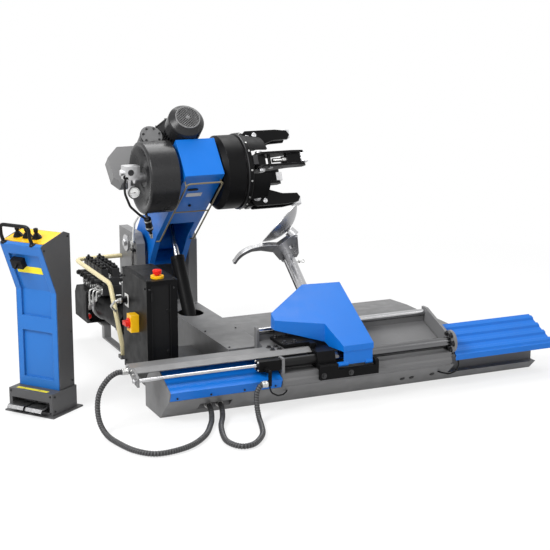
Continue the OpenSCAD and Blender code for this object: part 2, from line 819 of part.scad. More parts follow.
module pedestal_handle() {
    d = 20;
    corner = 24;
    foot = pedestal_face[2] + face_in * front_depth / 2;
    knee = foot + face_up * 46;
    rise = 98;
    x0 = 46;
    x1 = pedestal_w - 92;
    top = [knee[0] - 6, foot[1] + rise];
    color([0.05, 0.05, 0.055]) on_pedestal()
        bent_bar([[x0, foot[0], foot[1]], [x0, knee[0], knee[1]], [x0, top[0], top[1] - corner],
                  [x0 + corner, top[0], top[1]], [x1 - corner, top[0], top[1]], [x1, top[0], top[1] - corner],
                  [x1, knee[0], knee[1]], [x1, foot[0], foot[1]]], d);
}

module lever_box() {
    at = [78, 150];
    up = [face_len - 141, face_len - 89];
    out = 22;
    color([0.04, 0.04, 0.045]) on_pedestal() {
        along_x(at[0], at[1]) polygon([for (c = [[up[0], front_sink], [up[0], -out], [up[1], -out], [up[1],
            front_sink]])
            pedestal_face[1] + face_up * c[0] + face_in * c[1]]);
        along_x(at[0] + 30, at[1] - 30) polygon([for (c = [[up[0] + 18, -out], [up[0] + 10, -out - 20],
            [up[0] + 20, -out - 24], [up[1] - 18, -out]])
                pedestal_face[1] + face_up * c[0] + face_in * c[1]]);
    }
}

// Pedal plate on its cross pin; side is -1 or 1 from the base's middle
module pedal(side) {
    half_w = 52;
    x = pedestal_w / 2 + side * 60;
    plate_t = 6;
    front = -34;
    lip = [-46, -14];
    color([0.60, 0.61, 0.62]) on_pedestal() difference() {
        union() {
            along_x(x - half_w, x + half_w)
                polygon([[pedal_y, pedal_z + 3 - plate_t], [pedal_y, pedal_z + 3], [front, pedal_z + 3],
                         [lip[0], pedal_z + lip[1]], [lip[0] + 5, pedal_z + lip[1] - 3], [front + 4,
                             pedal_z + 3 - plate_t]]);
            rod_x(x - half_w, x + half_w, pedal_y, pedal_z, pedal_pin_d + 8);
        }
        rod_x(x - half_w - over, x + half_w + over, pedal_y, pedal_z, pedal_pin_d + 2 * running_gap);
    }
}

// Carriage
module carriage_block() {
    x1 = carriage_x + carriage_len;
    block_x1 = carriage_x + carriage_block_w;
    front = -186;
    back = -162;
    foot = 152;
    plate_x = [700, 880];
    plate_z = [314, 330];
    plate_y = [-30, 150];
    color([0.06, 0.06, 0.065]) difference() {
        union() {
            along_x(carriage_x, block_x1)
                polygon([[front, foot], [front, 228], [front + 8, 234], [-156, 234], [-156, 252], [-140,
                    300], [-20, 300],
                         [-20, 252], [-66, 232], [-66, 212], [ledge_y + 4, 212], [ledge_y + 2, ledge_top + 2],
                         [back, ledge_top + 2], [back, foot]]);
            block([carriage_x, front, foot], [x1, back, 200]);
            along_x(x1 - lug_t, x1)
                polygon([[front, foot], [front, 226], [front + 8, 234], [-150, 234], [-150, ledge_top + 2],
                         [back, ledge_top + 2], [back, foot]]);
            rod_x(block_x1 - over, x1 - over, hinge_y, hinge_z, hinge_d);
            block([plate_x[0], plate_y[0], plate_z[0]], [plate_x[1], plate_y[1], plate_z[1]]);
            block([carriage_x, plate_y[0] - 30, 300 - over], [plate_x[1], plate_y[0] + 10, plate_z[1]]);
        }
        rod_x(carriage_x - over, block_x1 + over, bar_y, bar_z, front_bar_d + 2 * running_gap);
    }
}

module carriage_beam() {
    t = 6;
    color([0.47, 0.48, 0.49]) along_x(beam_x0, carriage_x)
        folded([beam_front, beam_crease, [beam_back, beam_crease[1]], [beam_back, beam_crease[1] - 14]], -t);
}

module beam_end_plate() {
    hose_end = route_long[len(route_long) - 1];
    end_gap = 0.6;
    x0 = beam_x0 - end_plate_t;
    color([0.08, 0.08, 0.09]) {
        difference() {
            along_x(x0, beam_x0)
                polygon([[-136, 228], [-136, 276], [-96, 296], [beam_crease[0], beam_crease[1] + 1],
                         [beam_back, beam_crease[1] + 1], [beam_back, 290], [-20, 264], [-84, 234]]);
            rod_x(x0 - over, beam_x0 + over, bar_y, bar_z, rod_d + 0.2);
        }
        rod_x(hose_end[0] + end_gap, x0, hose_end[1], hose_end[2], hose_d + 2);
    }
}

module piston_rod() {
    color([0.88, 0.89, 0.90]) {
        rod_x(beam_x0 - end_plate_t - 16, piston_x, bar_y, bar_z, rod_d);
        rod_x(piston_x - 40, piston_x, bar_y, bar_z, front_bar_bore - 2 * running_gap);
    }
}

// Tool arm: the hood's outline from above, its sloping top and its lower edge
hood_plan = [[967, 304], [hood_right + 20, 295], [hood_right, -170], [996, -172], [964, 0], [688, 63],
    [691, 118]];
hood_drop = hood_t * sqrt(1 + hood_slope * hood_slope);
function hood_z(y) = 567 + hood_slope * (y - 300);
hood_walls = [for (i = [1 : 6]) hood_plan[i]];
hood_inner = offset_line(hood_walls, -hood_t);
hood_low = bar_z + front_bar_d / 2 + 9;

module tool_hood() {
    skirt = 96;
    wing_z = 415;
    far = 500;
    color([0.05, 0.40, 0.84]) difference() {
        translate([0, 0, hood_low]) linear_extrude(far) polygon(hood_plan);
        along_x(0, 3 * far) polygon([[-far, hood_z(-far)], [far, hood_z(far)], [far, 3 * far], [-far,
            3 * far]]);
        along_x(0, 3 * far)
            polygon([[-far, 0], [-far, hood_low], [-40, hood_low], [20, hood_low + 27], [far,
                hood_z(far) - skirt], [far, 0]]);
        translate([0, far, 0]) rotate([90, 0, 0]) linear_extrude(2 * far)
            polygon([[0, 0], [0, wing_z + 80], [hood_plan[5][0], wing_z - 25], [hood_plan[4][0], 310],
                     [hood_plan[4][0], 0]]);
        intersection() {
            linear_extrude(3 * far)
                polygon(concat([hood_inner[0] + [0, far]], hood_inner, [hood_inner[5] + [0, far]]));
            along_x(0, 3 * far) polygon([[-far, 0], [-far, hood_z(-far) - hood_drop],
                                         [far, hood_z(far) - hood_drop], [far, 0]]);
        }
    }
}

// Hinged front plate of the hood, lapped behind its front wall
module hood_front() {
    lap = 24;
    lip_z = hinge_z - 4;
    knuckles = [[carriage_x + carriage_block_w + 10, 60], [hood_right - 46, 40]];
    plan = [hood_inner[1], hood_inner[2], hood_inner[2] + [0, hood_t], hood_inner[1] + [0, hood_t]];
    color([0.05, 0.40, 0.84]) difference() {
        union() {
            translate([0, 0, lip_z]) linear_extrude(hood_low + lap - lip_z) polygon(plan);
            for (k = knuckles) rod_x(k[0], k[0] + k[1], hinge_y, hinge_z, knuckle_d);
        }
        rod_x(knuckles[0][0] - over, hood_right + over, hinge_y, hinge_z, hinge_d + 2 * running_gap);
    }
}

module post_housing() {
    plate_t = 16;
    plate_xs = [post_x + 4, hood_right - 46];
    shoe_z = rest_z + rear_bar_d / 2 + part_gap;
    shoe_y = [150, 222];
    shoe_h = 30;
    front = [-20, 362];
    socket_d = post_d + 30;
    socket_len = 80;
    color([0.06, 0.06, 0.065]) difference() {
        union() {
            for (x = plate_xs) along_x(x, x + plate_t)
                polygon([[front[0], hood_z(front[0]) - hood_drop], [262, hood_z(262) - hood_drop], [322,
                    520], [345, 462],
                         [300, shoe_z + shoe_h + 20], front]);
            block([plate_xs[0], shoe_y[0], shoe_z], [plate_xs[1] + over, shoe_y[1], shoe_z + shoe_h]);
            on_post() translate([0, 0, -post_below]) cylinder(d = socket_d, h = socket_len);
        }
        on_post() translate([0, 0, -post_below]) cylinder(d = post_d + 0.2, h = post_below);
    }
}

module tool_post() {
    spigot_d = post_d - 20;
    cap_h = 10;
    color([0.88, 0.89, 0.90]) on_post() {
        translate([0, 0, -post_below]) cylinder(d = post_d, h = post_below + post_above);
        translate([0, 0, post_above]) cylinder(d = spigot_d, h = head_t + hub_h + 2 * part_gap);
        translate([0, 0, post_above + head_t + hub_h + 2 * part_gap]) cylinder(d = spigot_d + 16, h = cap_h);
    }
}

// Tool head, drawn in the post's frame: X as the rails, Y down the head, Z along the post
disc_at = [-71, -199, 273];
disc_dir = unit([0.62, 0.254, -0.743]);
holder_reach = 114;
holder_d = 62;
axle_d = 24;
hub_h = 18;
head_plan = [[56, 4], [60, -30], [10, -176], [-36, -180], [-96, -112], [-118, -64], [-50, 18]];

module tool_head() {
    hub_d = post_d + 20;
    spigot_d = post_d - 20;
    z0 = post_above + part_gap;
    pin_hole = [-4, -94];
    pin_hole_d = 36;
    small_hole = [36, -48];
    small_hole_d = 17;
    color([0.62, 0.63, 0.64]) on_post() difference() {
        union() {
            difference() {
                translate([0, 0, z0]) linear_extrude(head_t) polygon(head_plan);
                translate([pin_hole[0], pin_hole[1], 0]) cylinder(d = pin_hole_d, h = z0 + 2 * head_t);
                translate([small_hole[0], small_hole[1], 0]) cylinder(d = small_hole_d, h = z0 + 2 * head_t);
            }
            translate([0, 0, z0]) cylinder(d = hub_d, h = head_t + hub_h);
            on_disc() translate([0, 0, disc_dome + 6]) cylinder(d = holder_d,
                h = holder_reach - disc_dome - 6);
        }
        translate([0, 0, z0 - over]) cylinder(d = spigot_d + 2 * running_gap, h = head_t + hub_h + 2 * over);
        on_disc() translate([0, 0, disc_dome + 5]) cylinder(d = axle_d + 2 * running_gap, h = 30);
        translate([-200, -300, z0 - 40]) cube([400, 400, 40]);
    }
}

// The disc's frame within the head's: Z points from the rim to the dome
module on_disc() {
    translate(disc_at) rotate([0, acos(disc_dir[2]), atan2(disc_dir[1], disc_dir[0])]) children();
}

module mount_hook() {
    upper = concat([[-90, -116], [-150, -124], [-205, -120]], arc([-210, 10], 128, -100, -172, 10), [[-345,
        10]]);
    lower = concat([[-330, 18]], arc([-212, 26], 112, -172, -110, 10), [[-200, -82], [-110, -56]]);
    color([0.66, 0.67, 0.68]) on_post() translate([0, 0, post_above + part_gap]) difference() {
        linear_extrude(head_t) polygon(concat(upper, lower));
        linear_extrude(3 * head_t, center = true) polygon(offset_loop(head_plan, part_gap));
    }
}

module bead_disc() {
    r = disc_d / 2;
    ball_r = (r * r + disc_dome * disc_dome) / (2 * disc_dome);
    t = 6;
    centre = [0, disc_dome - ball_r];
    rim_a = asin((ball_r - disc_dome) / ball_r);
    color([0.80, 0.81, 0.82]) on_post() on_disc() {
        rotate_extrude() polygon(concat([[0, disc_dome], [0, disc_dome - t]],
            flip(arc(centre, ball_r - t, rim_a, 88, 16)), [[r + 2, -4], [r + 4, 0]], arc(centre, ball_r,
                rim_a, 88, 16)));
        translate([0, 0, disc_dome - t]) cylinder(d = axle_d, h = t + 34);
    }
}

// Chuck arm
module arm_profile(wall) {
    polygon(offset_loop(arm_outline, -wall));
}

module arm_box() {
    x1 = arm_x0 + arm_w;
    bearing_d = 180;
    flange_d = 300;
    sill = 34;
    window_s = [-10, 470];
    slot = [60, 110];
    boss_gap = 1;
    color([0.05, 0.40, 0.84]) on_arm() difference() {
        union() {
            difference() {
                along_x(arm_x0, x1) arm_profile(0);
                along_x(arm_x0 + arm_wall, x1 - arm_wall) arm_profile(arm_wall);
                block([arm_x0 + sill, -window_s[1], -2 * boss_d], [x1 - sill, -window_s[0], -60]);
            }
            rod_x(arm_x0, chuck_x0, -spindle_s, spindle_n, bearing_d);
            rod_x(gearbox_x1, arm_x0, -spindle_s, spindle_n, flange_d);
            rod_x(arm_x0 - cheek_gap + boss_gap, x1 + cheek_gap - boss_gap, 0, 0, boss_d);
            rod_x(arm_x0 + arm_wall / 2, x1 - arm_wall / 2, -rod_pin_s, rod_pin_n, rod_pin_d);
        }
        rod_x(gearbox_x1 - over, chuck_x0 + over, -spindle_s, spindle_n, spindle_d + 2 * running_gap);
        rod_x(arm_x0 - cheek_gap, x1 + cheek_gap, 0, 0, pin_d + 2 * running_gap);
        block([arm_x0 + slot[0], -spindle_s - 46, arm_low_n - over], [arm_x0 + slot[1], -spindle_s - 34,
            arm_low_n + 30]);
    }
}

module gearbox_casing() {
    r = gearbox_d / 2;
    depth = gearbox_x1 - gearbox_x0;
    half = worm_d / 2;
    cover_t = 12;
    color([0.20, 0.20, 0.21]) {
        on_spindle() translate([gearbox_x0, 0, 0]) rotate([0, 90, 0]) rotate_extrude()
            polygon(concat([[0, 22], [58, 22], [64, 34], [104, 40], [118, 34], [r - 40, 6], [r - 30, 0]],
                           arc([r - 8, 8], 8, -90, 0, 4), [[r, depth - 6], [r - 6, depth], [0, depth]]));
        on_arm() translate([worm_x, 0, worm_n]) {
            translate([0, -guard_s1, 0]) rotate([90, 0, 0]) cylinder(d = worm_d, h = worm_s1 - guard_s1);
            block([-half, 20 - worm_s1, -120], [half, -guard_s1 - 40, 0]);
            translate([0, -worm_s1, 0]) rotate([90, 0, 0]) cylinder(d = worm_d + 8, h = cover_t);
            block([-half - 4, -worm_s1 - cover_t, -70], [half + 4, -worm_s1, 0]);
        }
    }
}

module drive_motor() {
    body = fan_s0 - motor_s0;
    fin_h = 9;
    fin_t = 4;
    shaft_d = 60;
    shield = 10;
    flange = [motor_d + 16, 30];
    foot = [44, motor_n - arm_top_n - 52, 190];
    foot_x = 64;
    box = [56, 92, 110];
    eye = [44, 22, 12];
    color([0.13, 0.13, 0.14]) on_motor() {
        translate([0, 0, motor_s0]) cylinder(d = motor_d - 2 * fin_h, h = body);
        translate([0, 0, fan_s0 - shield]) cylinder(d = fan_d - 2 * fan_t - 2 * part_gap, h = 2 * shield);
        for (i = [0 : fin_count - 1]) rotate([0, 0, (i + 0.5) * 360 / fin_count])
            translate([motor_d / 2 - fin_h - 2, -fin_t / 2, motor_s0 + 20]) cube([fin_h + 2, fin_t,
                body - 28]);
        translate([0, 0, motor_s0 - flange[1] / 2]) cylinder(d = flange[0], h = flange[1]);
        translate([0, 0, guard_s1 + part_gap]) cylinder(d = shaft_d, h = motor_s0 - guard_s1);
        for (side = [-1, 1])
            translate([side * foot_x - foot[0] / 2, arm_top_n - motor_n, motor_s0 + 30]) cube(foot);
        rotate([0, 0, 125]) translate([motor_d / 2 - fin_h - 6, -box[1] / 2, motor_s0 + 60]) cube(box);
        translate([0, motor_d / 2 + eye[0] / 2 - fin_h - 3, motor_s0 + 84]) difference() {
            cylinder(d = eye[0], h = eye[2]);
            translate([0, 0, -over]) cylinder(d = eye[1], h = eye[2] + 2 * over);
        }
    }
}

module fan_cover() {
    r = fan_d / 2;
    depth = fan_s1 - fan_s0;
    t = fan_t;
    face_r = r - 34;
    slots = 7;
    slot_w = 7;
    slot_pitch = 20;
    color([0.10, 0.10, 0.105]) on_motor() translate([0, 0, fan_s0 + part_gap]) difference() {
        rotate_extrude() polygon(concat([[r - t, 0], [r, 0], [r, depth - 42]], arc([r - 16, depth - 38],
            16, 10, 55, 4),
            [[face_r, depth], [0, depth], [0, depth - t], [face_r - 2, depth - t], [r - t, depth - 44]]));
        for (i = [0 : slots - 1]) {
            x = (i - (slots - 1) / 2) * slot_pitch;
            half = sqrt(max(1, pow(face_r - 10, 2) - x * x));
            translate([x - slot_w / 2, -half, depth - t - over]) cube([slot_w, 2 * half, t + 2 * over]);
        }
    }
}

module belt_guard() {
    color([0.44, 0.45, 0.46]) on_arm() translate([0, -guard_s0, 0]) rotate([90, 0, 0])
        linear_extrude(guard_s1 - guard_s0 - part_gap)
        polygon([[222, 318], [150, 246], [156, 108], [198, 62], [arm_x0 - 12, 62], [arm_x0 - 4,
            arm_top_n + part_gap],
                 [622, arm_top_n + part_gap], [650, 130], [650, 280], [620, 318]]);
}

module rotary_union() {
    face = gearbox_x0 + 22;
    gauge = [170, -104, -66];
    stem_y = -30;
    color([0.74, 0.75, 0.76]) on_spindle() rotate([arm_tilt, 0, 0]) {
        rod_x(face - 62, face, 0, 0, 62);
        block([140, -44, -4], [228, 40, 76]);
        rod_x(120, 141, -2, 36, 34);
        translate([gauge[0], stem_y, gauge[2]]) cylinder(d = 20, h = -gauge[2]);
        translate([gauge[0], gauge[1] + 20, gauge[2]]) rotate([-90, 0, 0]) cylinder(d = 20, h = 62);
        translate(gauge) rotate([-90, 0, 0]) cylinder(d = 70, h = 30);
        translate([gauge[0], stem_y, gauge[2]]) sphere(d = 30);
    }
}

module wire_guard() {
    d = 10;
    leg_d = 9;
    cross_d = 8;
    low = -190;
    root = arm_low_n + d;
    xs = [arm_x0 + d, arm_x0 + arm_w - d];
    top_s = 985;
    mid_s = 668;
    knee_s = 330;
    end_s = 250;
    color([0.80, 0.76, 0.60]) on_arm() difference() {
        union() {
            for (x = xs) {
                rod_between([x, -knee_s + d, low], [x, -top_s - d, low], d);
                rod_between([x, -knee_s, low], [x, -end_s, root], leg_d);
                rod_between([x, -top_s, low], [x, -top_s, root], leg_d);
            }
            for (along = [mid_s, top_s - 2 * d]) rod_x(xs[0], xs[1], -along, low, cross_d);
        }
        along_x(arm_x0 - 50, arm_x0 + arm_w + 50) arm_profile(0);
    }
}

// Lift cylinder
rod_pin_y = pivot_y - rod_pin_s * cos(arm_tilt) + rod_pin_n * sin(arm_tilt);
rod_pin_z = pivot_z + rod_pin_s * sin(arm_tilt) + rod_pin_n * cos(arm_tilt);
lift_run = norm([rod_pin_y - foot_y, rod_pin_z - foot_z]);
lift_angle = atan2(rod_pin_z - foot_z, rod_pin_y - foot_y);

module on_lift() {
    translate([lift_x, foot_y, foot_z]) rotate([lift_angle - 90, 0, 0]) children();
}

module lift_barrel() {
    collar = 26;
    color([0.20, 0.20, 0.21]) difference() {
        on_lift() {
            translate([0, 0, 40]) cylinder(d = lift_d, h = barrel_len - 40);
            translate([0, 0, barrel_len - collar]) cylinder(d = lift_d + 6, h = collar);
            rotate([0, 90, 0]) cylinder(d = lift_d - 4, h = lift_d, center = true);
            cylinder(d = lift_d - 16, h = 60);
        }
        on_lift() translate([0, 0, 90]) cylinder(d = lift_rod_d + 2 * running_gap, h = barrel_len);
        rod_x(lift_x - 100, lift_x + 100, foot_y, foot_z, foot_pin_d + 2 * running_gap);
    }
}

module lift_rod() {
    eye_d = 84;
    pivot_slack = 20;
    inside = 160;
    color([0.86, 0.87, 0.88]) difference() {
        on_lift() {
            translate([0, 0, barrel_len - inside]) cylinder(d = lift_rod_d,
                h = lift_run - barrel_len + inside - 30);
            translate([0, 0, lift_run]) rotate([0, 90, 0]) cylinder(d = eye_d, h = 50, center = true);
        }
        on_lift() translate([0, 0, lift_run]) rotate([0, 90, 0])
            cylinder(d = rod_pin_d + pivot_slack, h = 60, center = true);
    }
}

// Chuck
module on_jaw(i) {
    on_spindle() rotate([jaw_turn + 90 * i, 0, 0]) children();
}

module chuck_drum() {
    r = chuck_d / 2;
    skirt_x1 = ring_x1 + 118;
    skirt_gap = 74;
    color([0.09, 0.09, 0.095]) {
        on_spindle() rotate([0, 90, 0]) rotate_extrude()
            polygon([[0, gearbox_x1 + 4], [spindle_d / 2, gearbox_x1 + 4], [spindle_d / 2,
                chuck_x0 + part_gap],
                     [r - 26, chuck_x0 + part_gap], [r, chuck_x0 + 26], [r, chuck_x1 - 6], [r - 6, chuck_x1],
                     [r - 2, chuck_x1 + 4], [r + 6, chuck_x1 + 8], [r + 6, ring_x1 - 6], [r, ring_x1],
                     [90, ring_x1], [80, ring_x1 - 20], [0, ring_x1 - 20]]);
        difference() {
            on_spindle() rotate([0, 90, 0]) rotate_extrude()
                polygon([[r - 22, ring_x1 - 2], [r - 6, ring_x1 - 2], [r - 22, skirt_x1], [r - 38,
                    skirt_x1]]);
            for (i = [0 : 3]) on_jaw(i) block([ring_x1, -skirt_gap, 0], [skirt_x1 + 10, skirt_gap, 300]);
        }
        for (i = [0 : 3]) on_jaw(i) difference() {
            translate([0, -lug_w / 2, 0]) rotate([90, 0, 0]) mirror([0, 0, 1]) linear_extrude(lug_w)
                polygon([[ring_x1 - 2, 120], [ring_x1 - 2, 226], [ring_x1 + 30, 226], [jaw_x + 26, 206],
                         [jaw_x + 26, 156], [jaw_x, 130]]);
            translate([jaw_x, 0, jaw_r]) rotate([90, 0, 0])
                cylinder(d = jaw_pin_d + 2 * running_gap, h = 2 * lug_w, center = true);
        }
    }
}

module jaw(i) {
    side_in = lug_w / 2 + 1;
    outline = [[jaw_x - 34, 158], [jaw_x - 34, 206], [jaw_x - 6, 232], [1120, 232], [1196, 222], [1212, 196],
               [1196, 170], [1100, 166], [1000, 132], [jaw_x - 8, 132]];
    color([0.10, 0.10, 0.105]) on_jaw(i) difference() {
        union() {
            for (y = [-side_in - jaw_plate_t, side_in])
                translate([0, y + jaw_plate_t, 0]) rotate([90, 0, 0]) linear_extrude(jaw_plate_t)
                    polygon(outline);
            translate([1090, -side_in, 176]) cube([90, 2 * side_in, 40]);
            translate([1176, -24, 186]) cube([44, 48, 46]);
            rod_t(jaw_x, jaw_r, jaw_pin_d, lug_w + 2 * jaw_plate_t + 34);
            rod_t(jaw_x + 50, 204, 20, lug_w + 2 * jaw_plate_t + 10);
        }
    }
}

// Pin across a jaw
module rod_t(x, r, d, len) {
    translate([x, 0, r]) rotate([90, 0, 0]) cylinder(d = d, h = len, center = true);
}

place() base_frame();
place() front_cover();
place() slant_bed();
place() front_guide_tube();
place() rear_rest_bar();
place() bar_brackets();
place() gland_block();
place() ribbed_cover();
place() wheel_platform();
place() lift_housing();
place() tower();
place() pivot_pins();
place() control_cabinet();
place() cabinet_cover();
place() safety_bases();
place() hydraulic_tank();
place() pump_motor();
place() valve_stack();
place() pump_bracket();
place() guard_tube();
place() pedestal_base();
place() pedestal_shell();
place() pedestal_front();
place() pedestal_top();
place() pedestal_handle();
place() lever_box();
place() color([0.20, 0.20, 0.21]) ribbed_hose(route_short);  // hose_short
place() color([0.20, 0.20, 0.21]) ribbed_hose(route_long);  // hose_long
place() carriage_block();
place() carriage_beam();
place() beam_end_plate();
place() piston_rod();
place() tool_hood();
place() hood_front();
place() tool_post();
place() post_housing();
place() tool_head();
place() mount_hook();
place() bead_disc();
place() arm_box();
place() gearbox_casing();
place() drive_motor();
place() fan_cover();
place() belt_guard();
place() rotary_union();
place() wire_guard();
place() lift_barrel();
place() lift_rod();
place() chuck_drum();
place() jaw(0);  // jaw_1
place() jaw(1);  // jaw_2
place() jaw(2);  // jaw_3
place() jaw(3);  // jaw_4
place() switch_knob();
place() estop_button();
place() joystick(0);  // joystick_1
place() joystick(1);  // joystick_2
place() joystick(2);  // joystick_3
place() pedal(-1);  // pedal_left
place() pedal(1);  // pedal_right
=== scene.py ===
"""Heavy tyre changer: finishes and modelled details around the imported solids."""

import math
from itertools import chain, product

import bpy
from mathutils import Matrix, Vector


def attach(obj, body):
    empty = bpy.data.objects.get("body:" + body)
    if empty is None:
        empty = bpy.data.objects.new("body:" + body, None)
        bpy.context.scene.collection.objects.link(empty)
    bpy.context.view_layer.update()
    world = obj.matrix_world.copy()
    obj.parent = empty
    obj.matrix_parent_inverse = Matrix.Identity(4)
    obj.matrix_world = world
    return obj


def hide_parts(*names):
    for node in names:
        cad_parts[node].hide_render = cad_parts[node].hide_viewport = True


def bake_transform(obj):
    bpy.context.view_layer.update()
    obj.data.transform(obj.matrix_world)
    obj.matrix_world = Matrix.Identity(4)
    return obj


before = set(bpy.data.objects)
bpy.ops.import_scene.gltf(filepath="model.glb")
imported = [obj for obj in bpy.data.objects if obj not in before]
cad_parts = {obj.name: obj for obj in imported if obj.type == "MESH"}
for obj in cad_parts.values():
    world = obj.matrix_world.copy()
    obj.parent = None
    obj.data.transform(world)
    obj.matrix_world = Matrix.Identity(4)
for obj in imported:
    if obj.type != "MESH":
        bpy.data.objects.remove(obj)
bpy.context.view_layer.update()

bl_info = {
    "name": "Heavy tyre changer",
    "version": (1, 0, 0),
    "blender": (4, 5, 0),
    "location": "View3D > Sidebar > Tyre changer",
    "description": "Dresses the solids of a heavy tyre changer with finishes and details",
    "category": "Object",
}

# Places in millimetres and turns in degrees that the machine's groups are drawn from
ORIGIN = (-1160, -120, 0)
ARM_PIVOT, ARM_TILT = (0, 1620, 615), 40.6
SPINDLE_AT = (0, -821, -26)
MOTOR_FOOT = (527, 0, 207)
POST_FOOT, POST_LEAN = (1000, 425, 566), 37
PEDESTAL_FOOT, PEDESTAL_TURN = (-724, 466, 0), -52.9
JAW_COUNT, JAW_TURN = 4, 16
LID_TURN = 125
LEFT, RIGHT, FRONT, UP, DOWN = (-1, 0, 0), (1, 0, 0), (0, -1, 0), (0, 0, 1), (0, 0, -1)
# The pedestal's leaning panel: its lean, and the directions up along it and into it
PANEL_LEAN, PANEL_UP, PANEL_IN = 23.3, (0, -0.396, 0.918), (0, 0.918, 0.396)


def moved(x, y, z):
    return Matrix.Translation((x, y, z))


def turn(axis, degrees):
    return Matrix.Rotation(math.radians(degrees), 4, axis)


def facing(at, normal):
    """A place at a point with Z along the normal."""
    return moved(*at) @ Vector(normal).to_track_quat("Z", "Y").to_matrix().to_4x4()


def spots(normal, points):
    """Places at the points, all facing one way."""
    return [facing(p, normal) for p in points]


def jaw_turn(i):
    return turn("X", JAW_TURN + 90 * i)


# Frames of the groups: each takes millimetres to metres in the shared frame
MACHINE = Matrix.Scale(0.001, 4) @ moved(*ORIGIN)
ARM = MACHINE @ moved(*ARM_PIVOT) @ turn("X", -ARM_TILT)
SPINDLE = ARM @ moved(*SPINDLE_AT)
UNION = SPINDLE @ turn("X", ARM_TILT)
MOTOR = ARM @ moved(*MOTOR_FOOT) @ turn("X", 90)
POST = MACHINE @ moved(*POST_FOOT) @ turn("X", POST_LEAN - 90)
PEDESTAL = MACHINE @ moved(*PEDESTAL_FOOT) @ turn("Z", PEDESTAL_TURN)
ALONG_X, AGAINST_X = turn("Y", 90), turn("Y", -90)
ALONG_Y, AGAINST_Y = turn("X", -90), turn("X", 90)


# Selection and edit mode
def clear():
    if bpy.context.object and bpy.context.object.mode != "OBJECT":
        bpy.ops.object.mode_set(mode="OBJECT")
    bpy.ops.object.select_all(action="DESELECT")


def select(*objects):
    clear()
    for obj in objects:
        obj.select_set(True)
    bpy.context.view_layer.objects.active = objects[0]


def edit(obj):
    select(obj)
    bpy.ops.object.mode_set(mode="EDIT")
    bpy.ops.mesh.select_all(action="SELECT")


def tidy(obj, angle=35):
    """Merges doubles, points the faces outwards and smooths the round ones."""
    edit(obj)
    bpy.ops.mesh.remove_doubles(threshold=0.001)
    bpy.ops.mesh.normals_make_consistent(inside=False)
    bpy.ops.object.mode_set(mode="OBJECT")
    bpy.ops.object.shade_smooth_by_angle(angle=math.radians(angle))
    return obj


def soften(obj, width, segments=2, angle=30):
    """Rounds the sharp edges with a bevel that is applied."""
    select(obj)
    bevel = obj.modifiers.new("edges", "BEVEL")
    bevel.width = width
    bevel.segments = segments
    bevel.limit_method = "ANGLE"
    bevel.angle_limit = math.radians(angle)
    bevel.use_clamp_overlap = True
    bpy.ops.object.modifier_apply(modifier=bevel.name)
    return tidy(obj)


# Shapes, in millimetres in their own frame
def from_points(points, edges=(), faces=()):
    clear()
    bpy.ops.object.add(type="MESH")
    obj = bpy.context.object
    obj.data.from_pydata([Vector(p) for p in points], edges, faces)
    obj.data.update()
    return obj


def turned(profile, steps=32):
    """A turned shape: (radius, height) points spun round Z."""
    points = [(r, 0, z) for r, z in profile]
    obj = from_points(points, [(i, i + 1) for i in range(len(points) - 1)])
    edit(obj)
    bpy.ops.mesh.spin(steps=steps, angle=2 * math.pi, center=(0, 0, 0), axis=(0, 0, 1))
    bpy.ops.object.mode_set(mode="OBJECT")
    return tidy(obj)


def prism(outline, depth, edge=0.0):
    """A flat outline pulled up along Z, with its edges rounded."""
    obj = from_points([(x, y, 0) for x, y in outline], faces=[range(len(outline))])
    edit(obj)
    bpy.ops.mesh.extrude_region_move(TRANSFORM_OT_translate={"value": (0, 0, depth)})
    bpy.ops.object.mode_set(mode="OBJECT")
    tidy(obj)
    return soften(obj, edge) if edge else obj


def slab(x0, y0, x1, y1, depth, edge=0.0):
    return prism([(x0, y0), (x1, y0), (x1, y1), (x0, y1)], depth, edge)


def box_shape(a, b, edge):
    return shift(slab(*a[:2], *b[:2], b[2] - a[2], edge), moved(0, 0, a[2]))


def arc(radius, degrees):
    """Points of a circle at the given angles."""
    return [(radius * math.cos(math.radians(a)), radius * math.sin(math.radians(a))) for a in degrees]


def shift(obj, matrix):
    obj.data.transform(matrix)
    return obj


def joined(objects):
    select(*objects)
    bpy.ops.object.join()
    return bpy.context.object


def repeat(obj, places):
    """Copies of one shape at the given places, each with its own mesh, joined as one piece."""
    made = []
    for place in places:
        one = obj.copy()
        one.data = obj.data.copy()
        bpy.context.scene.collection.objects.link(one)
        made.append(shift(one, place))
    bpy.data.objects.remove(obj)
    return joined(made)


def round_corners(points, radius, steps=7):
    """The line with each inner corner swept round by the radius."""
    line = [Vector(p) for p in points]
    swept = [line[0]]
    for before, at, after in zip(line, line[1:], line[2:]):
        back, on = (before - at).normalized(), (after - at).normalized()
        half = back.angle(on) / 2
        reach = min(radius / math.tan(half), 0.48 * (before - at).length, 0.48 * (after - at).length)
        start, end = at + back * reach, at + on * reach
        for k in range(steps + 1):
            t = k / steps
            swept.append(start * (1 - t) ** 2 + at * (2 * t * (1 - t)) + end * t * t)
    return swept + [line[-1]]


def pipe(points, diameter, corner):
    """A round bar or pipe along a line with swept corners, as a closed mesh."""
    clear()
    curve = bpy.data.curves.new("pipe", "CURVE")
    curve.dimensions = "3D"
    curve.bevel_depth = diameter / 2
    curve.bevel_resolution = 5
    curve.use_fill_caps = True
    line = round_corners(points, corner)
    spline = curve.splines.new("POLY")
    spline.points.add(len(line) - 1)
    for point, at in zip(spline.points, line):
        point.co = (*at, 1)
    obj = bpy.data.objects.new("pipe", curve)
    bpy.context.scene.collection.objects.link(obj)
    select(obj)
    bpy.ops.object.convert(target="MESH")
    return tidy(bpy.context.object, 50)


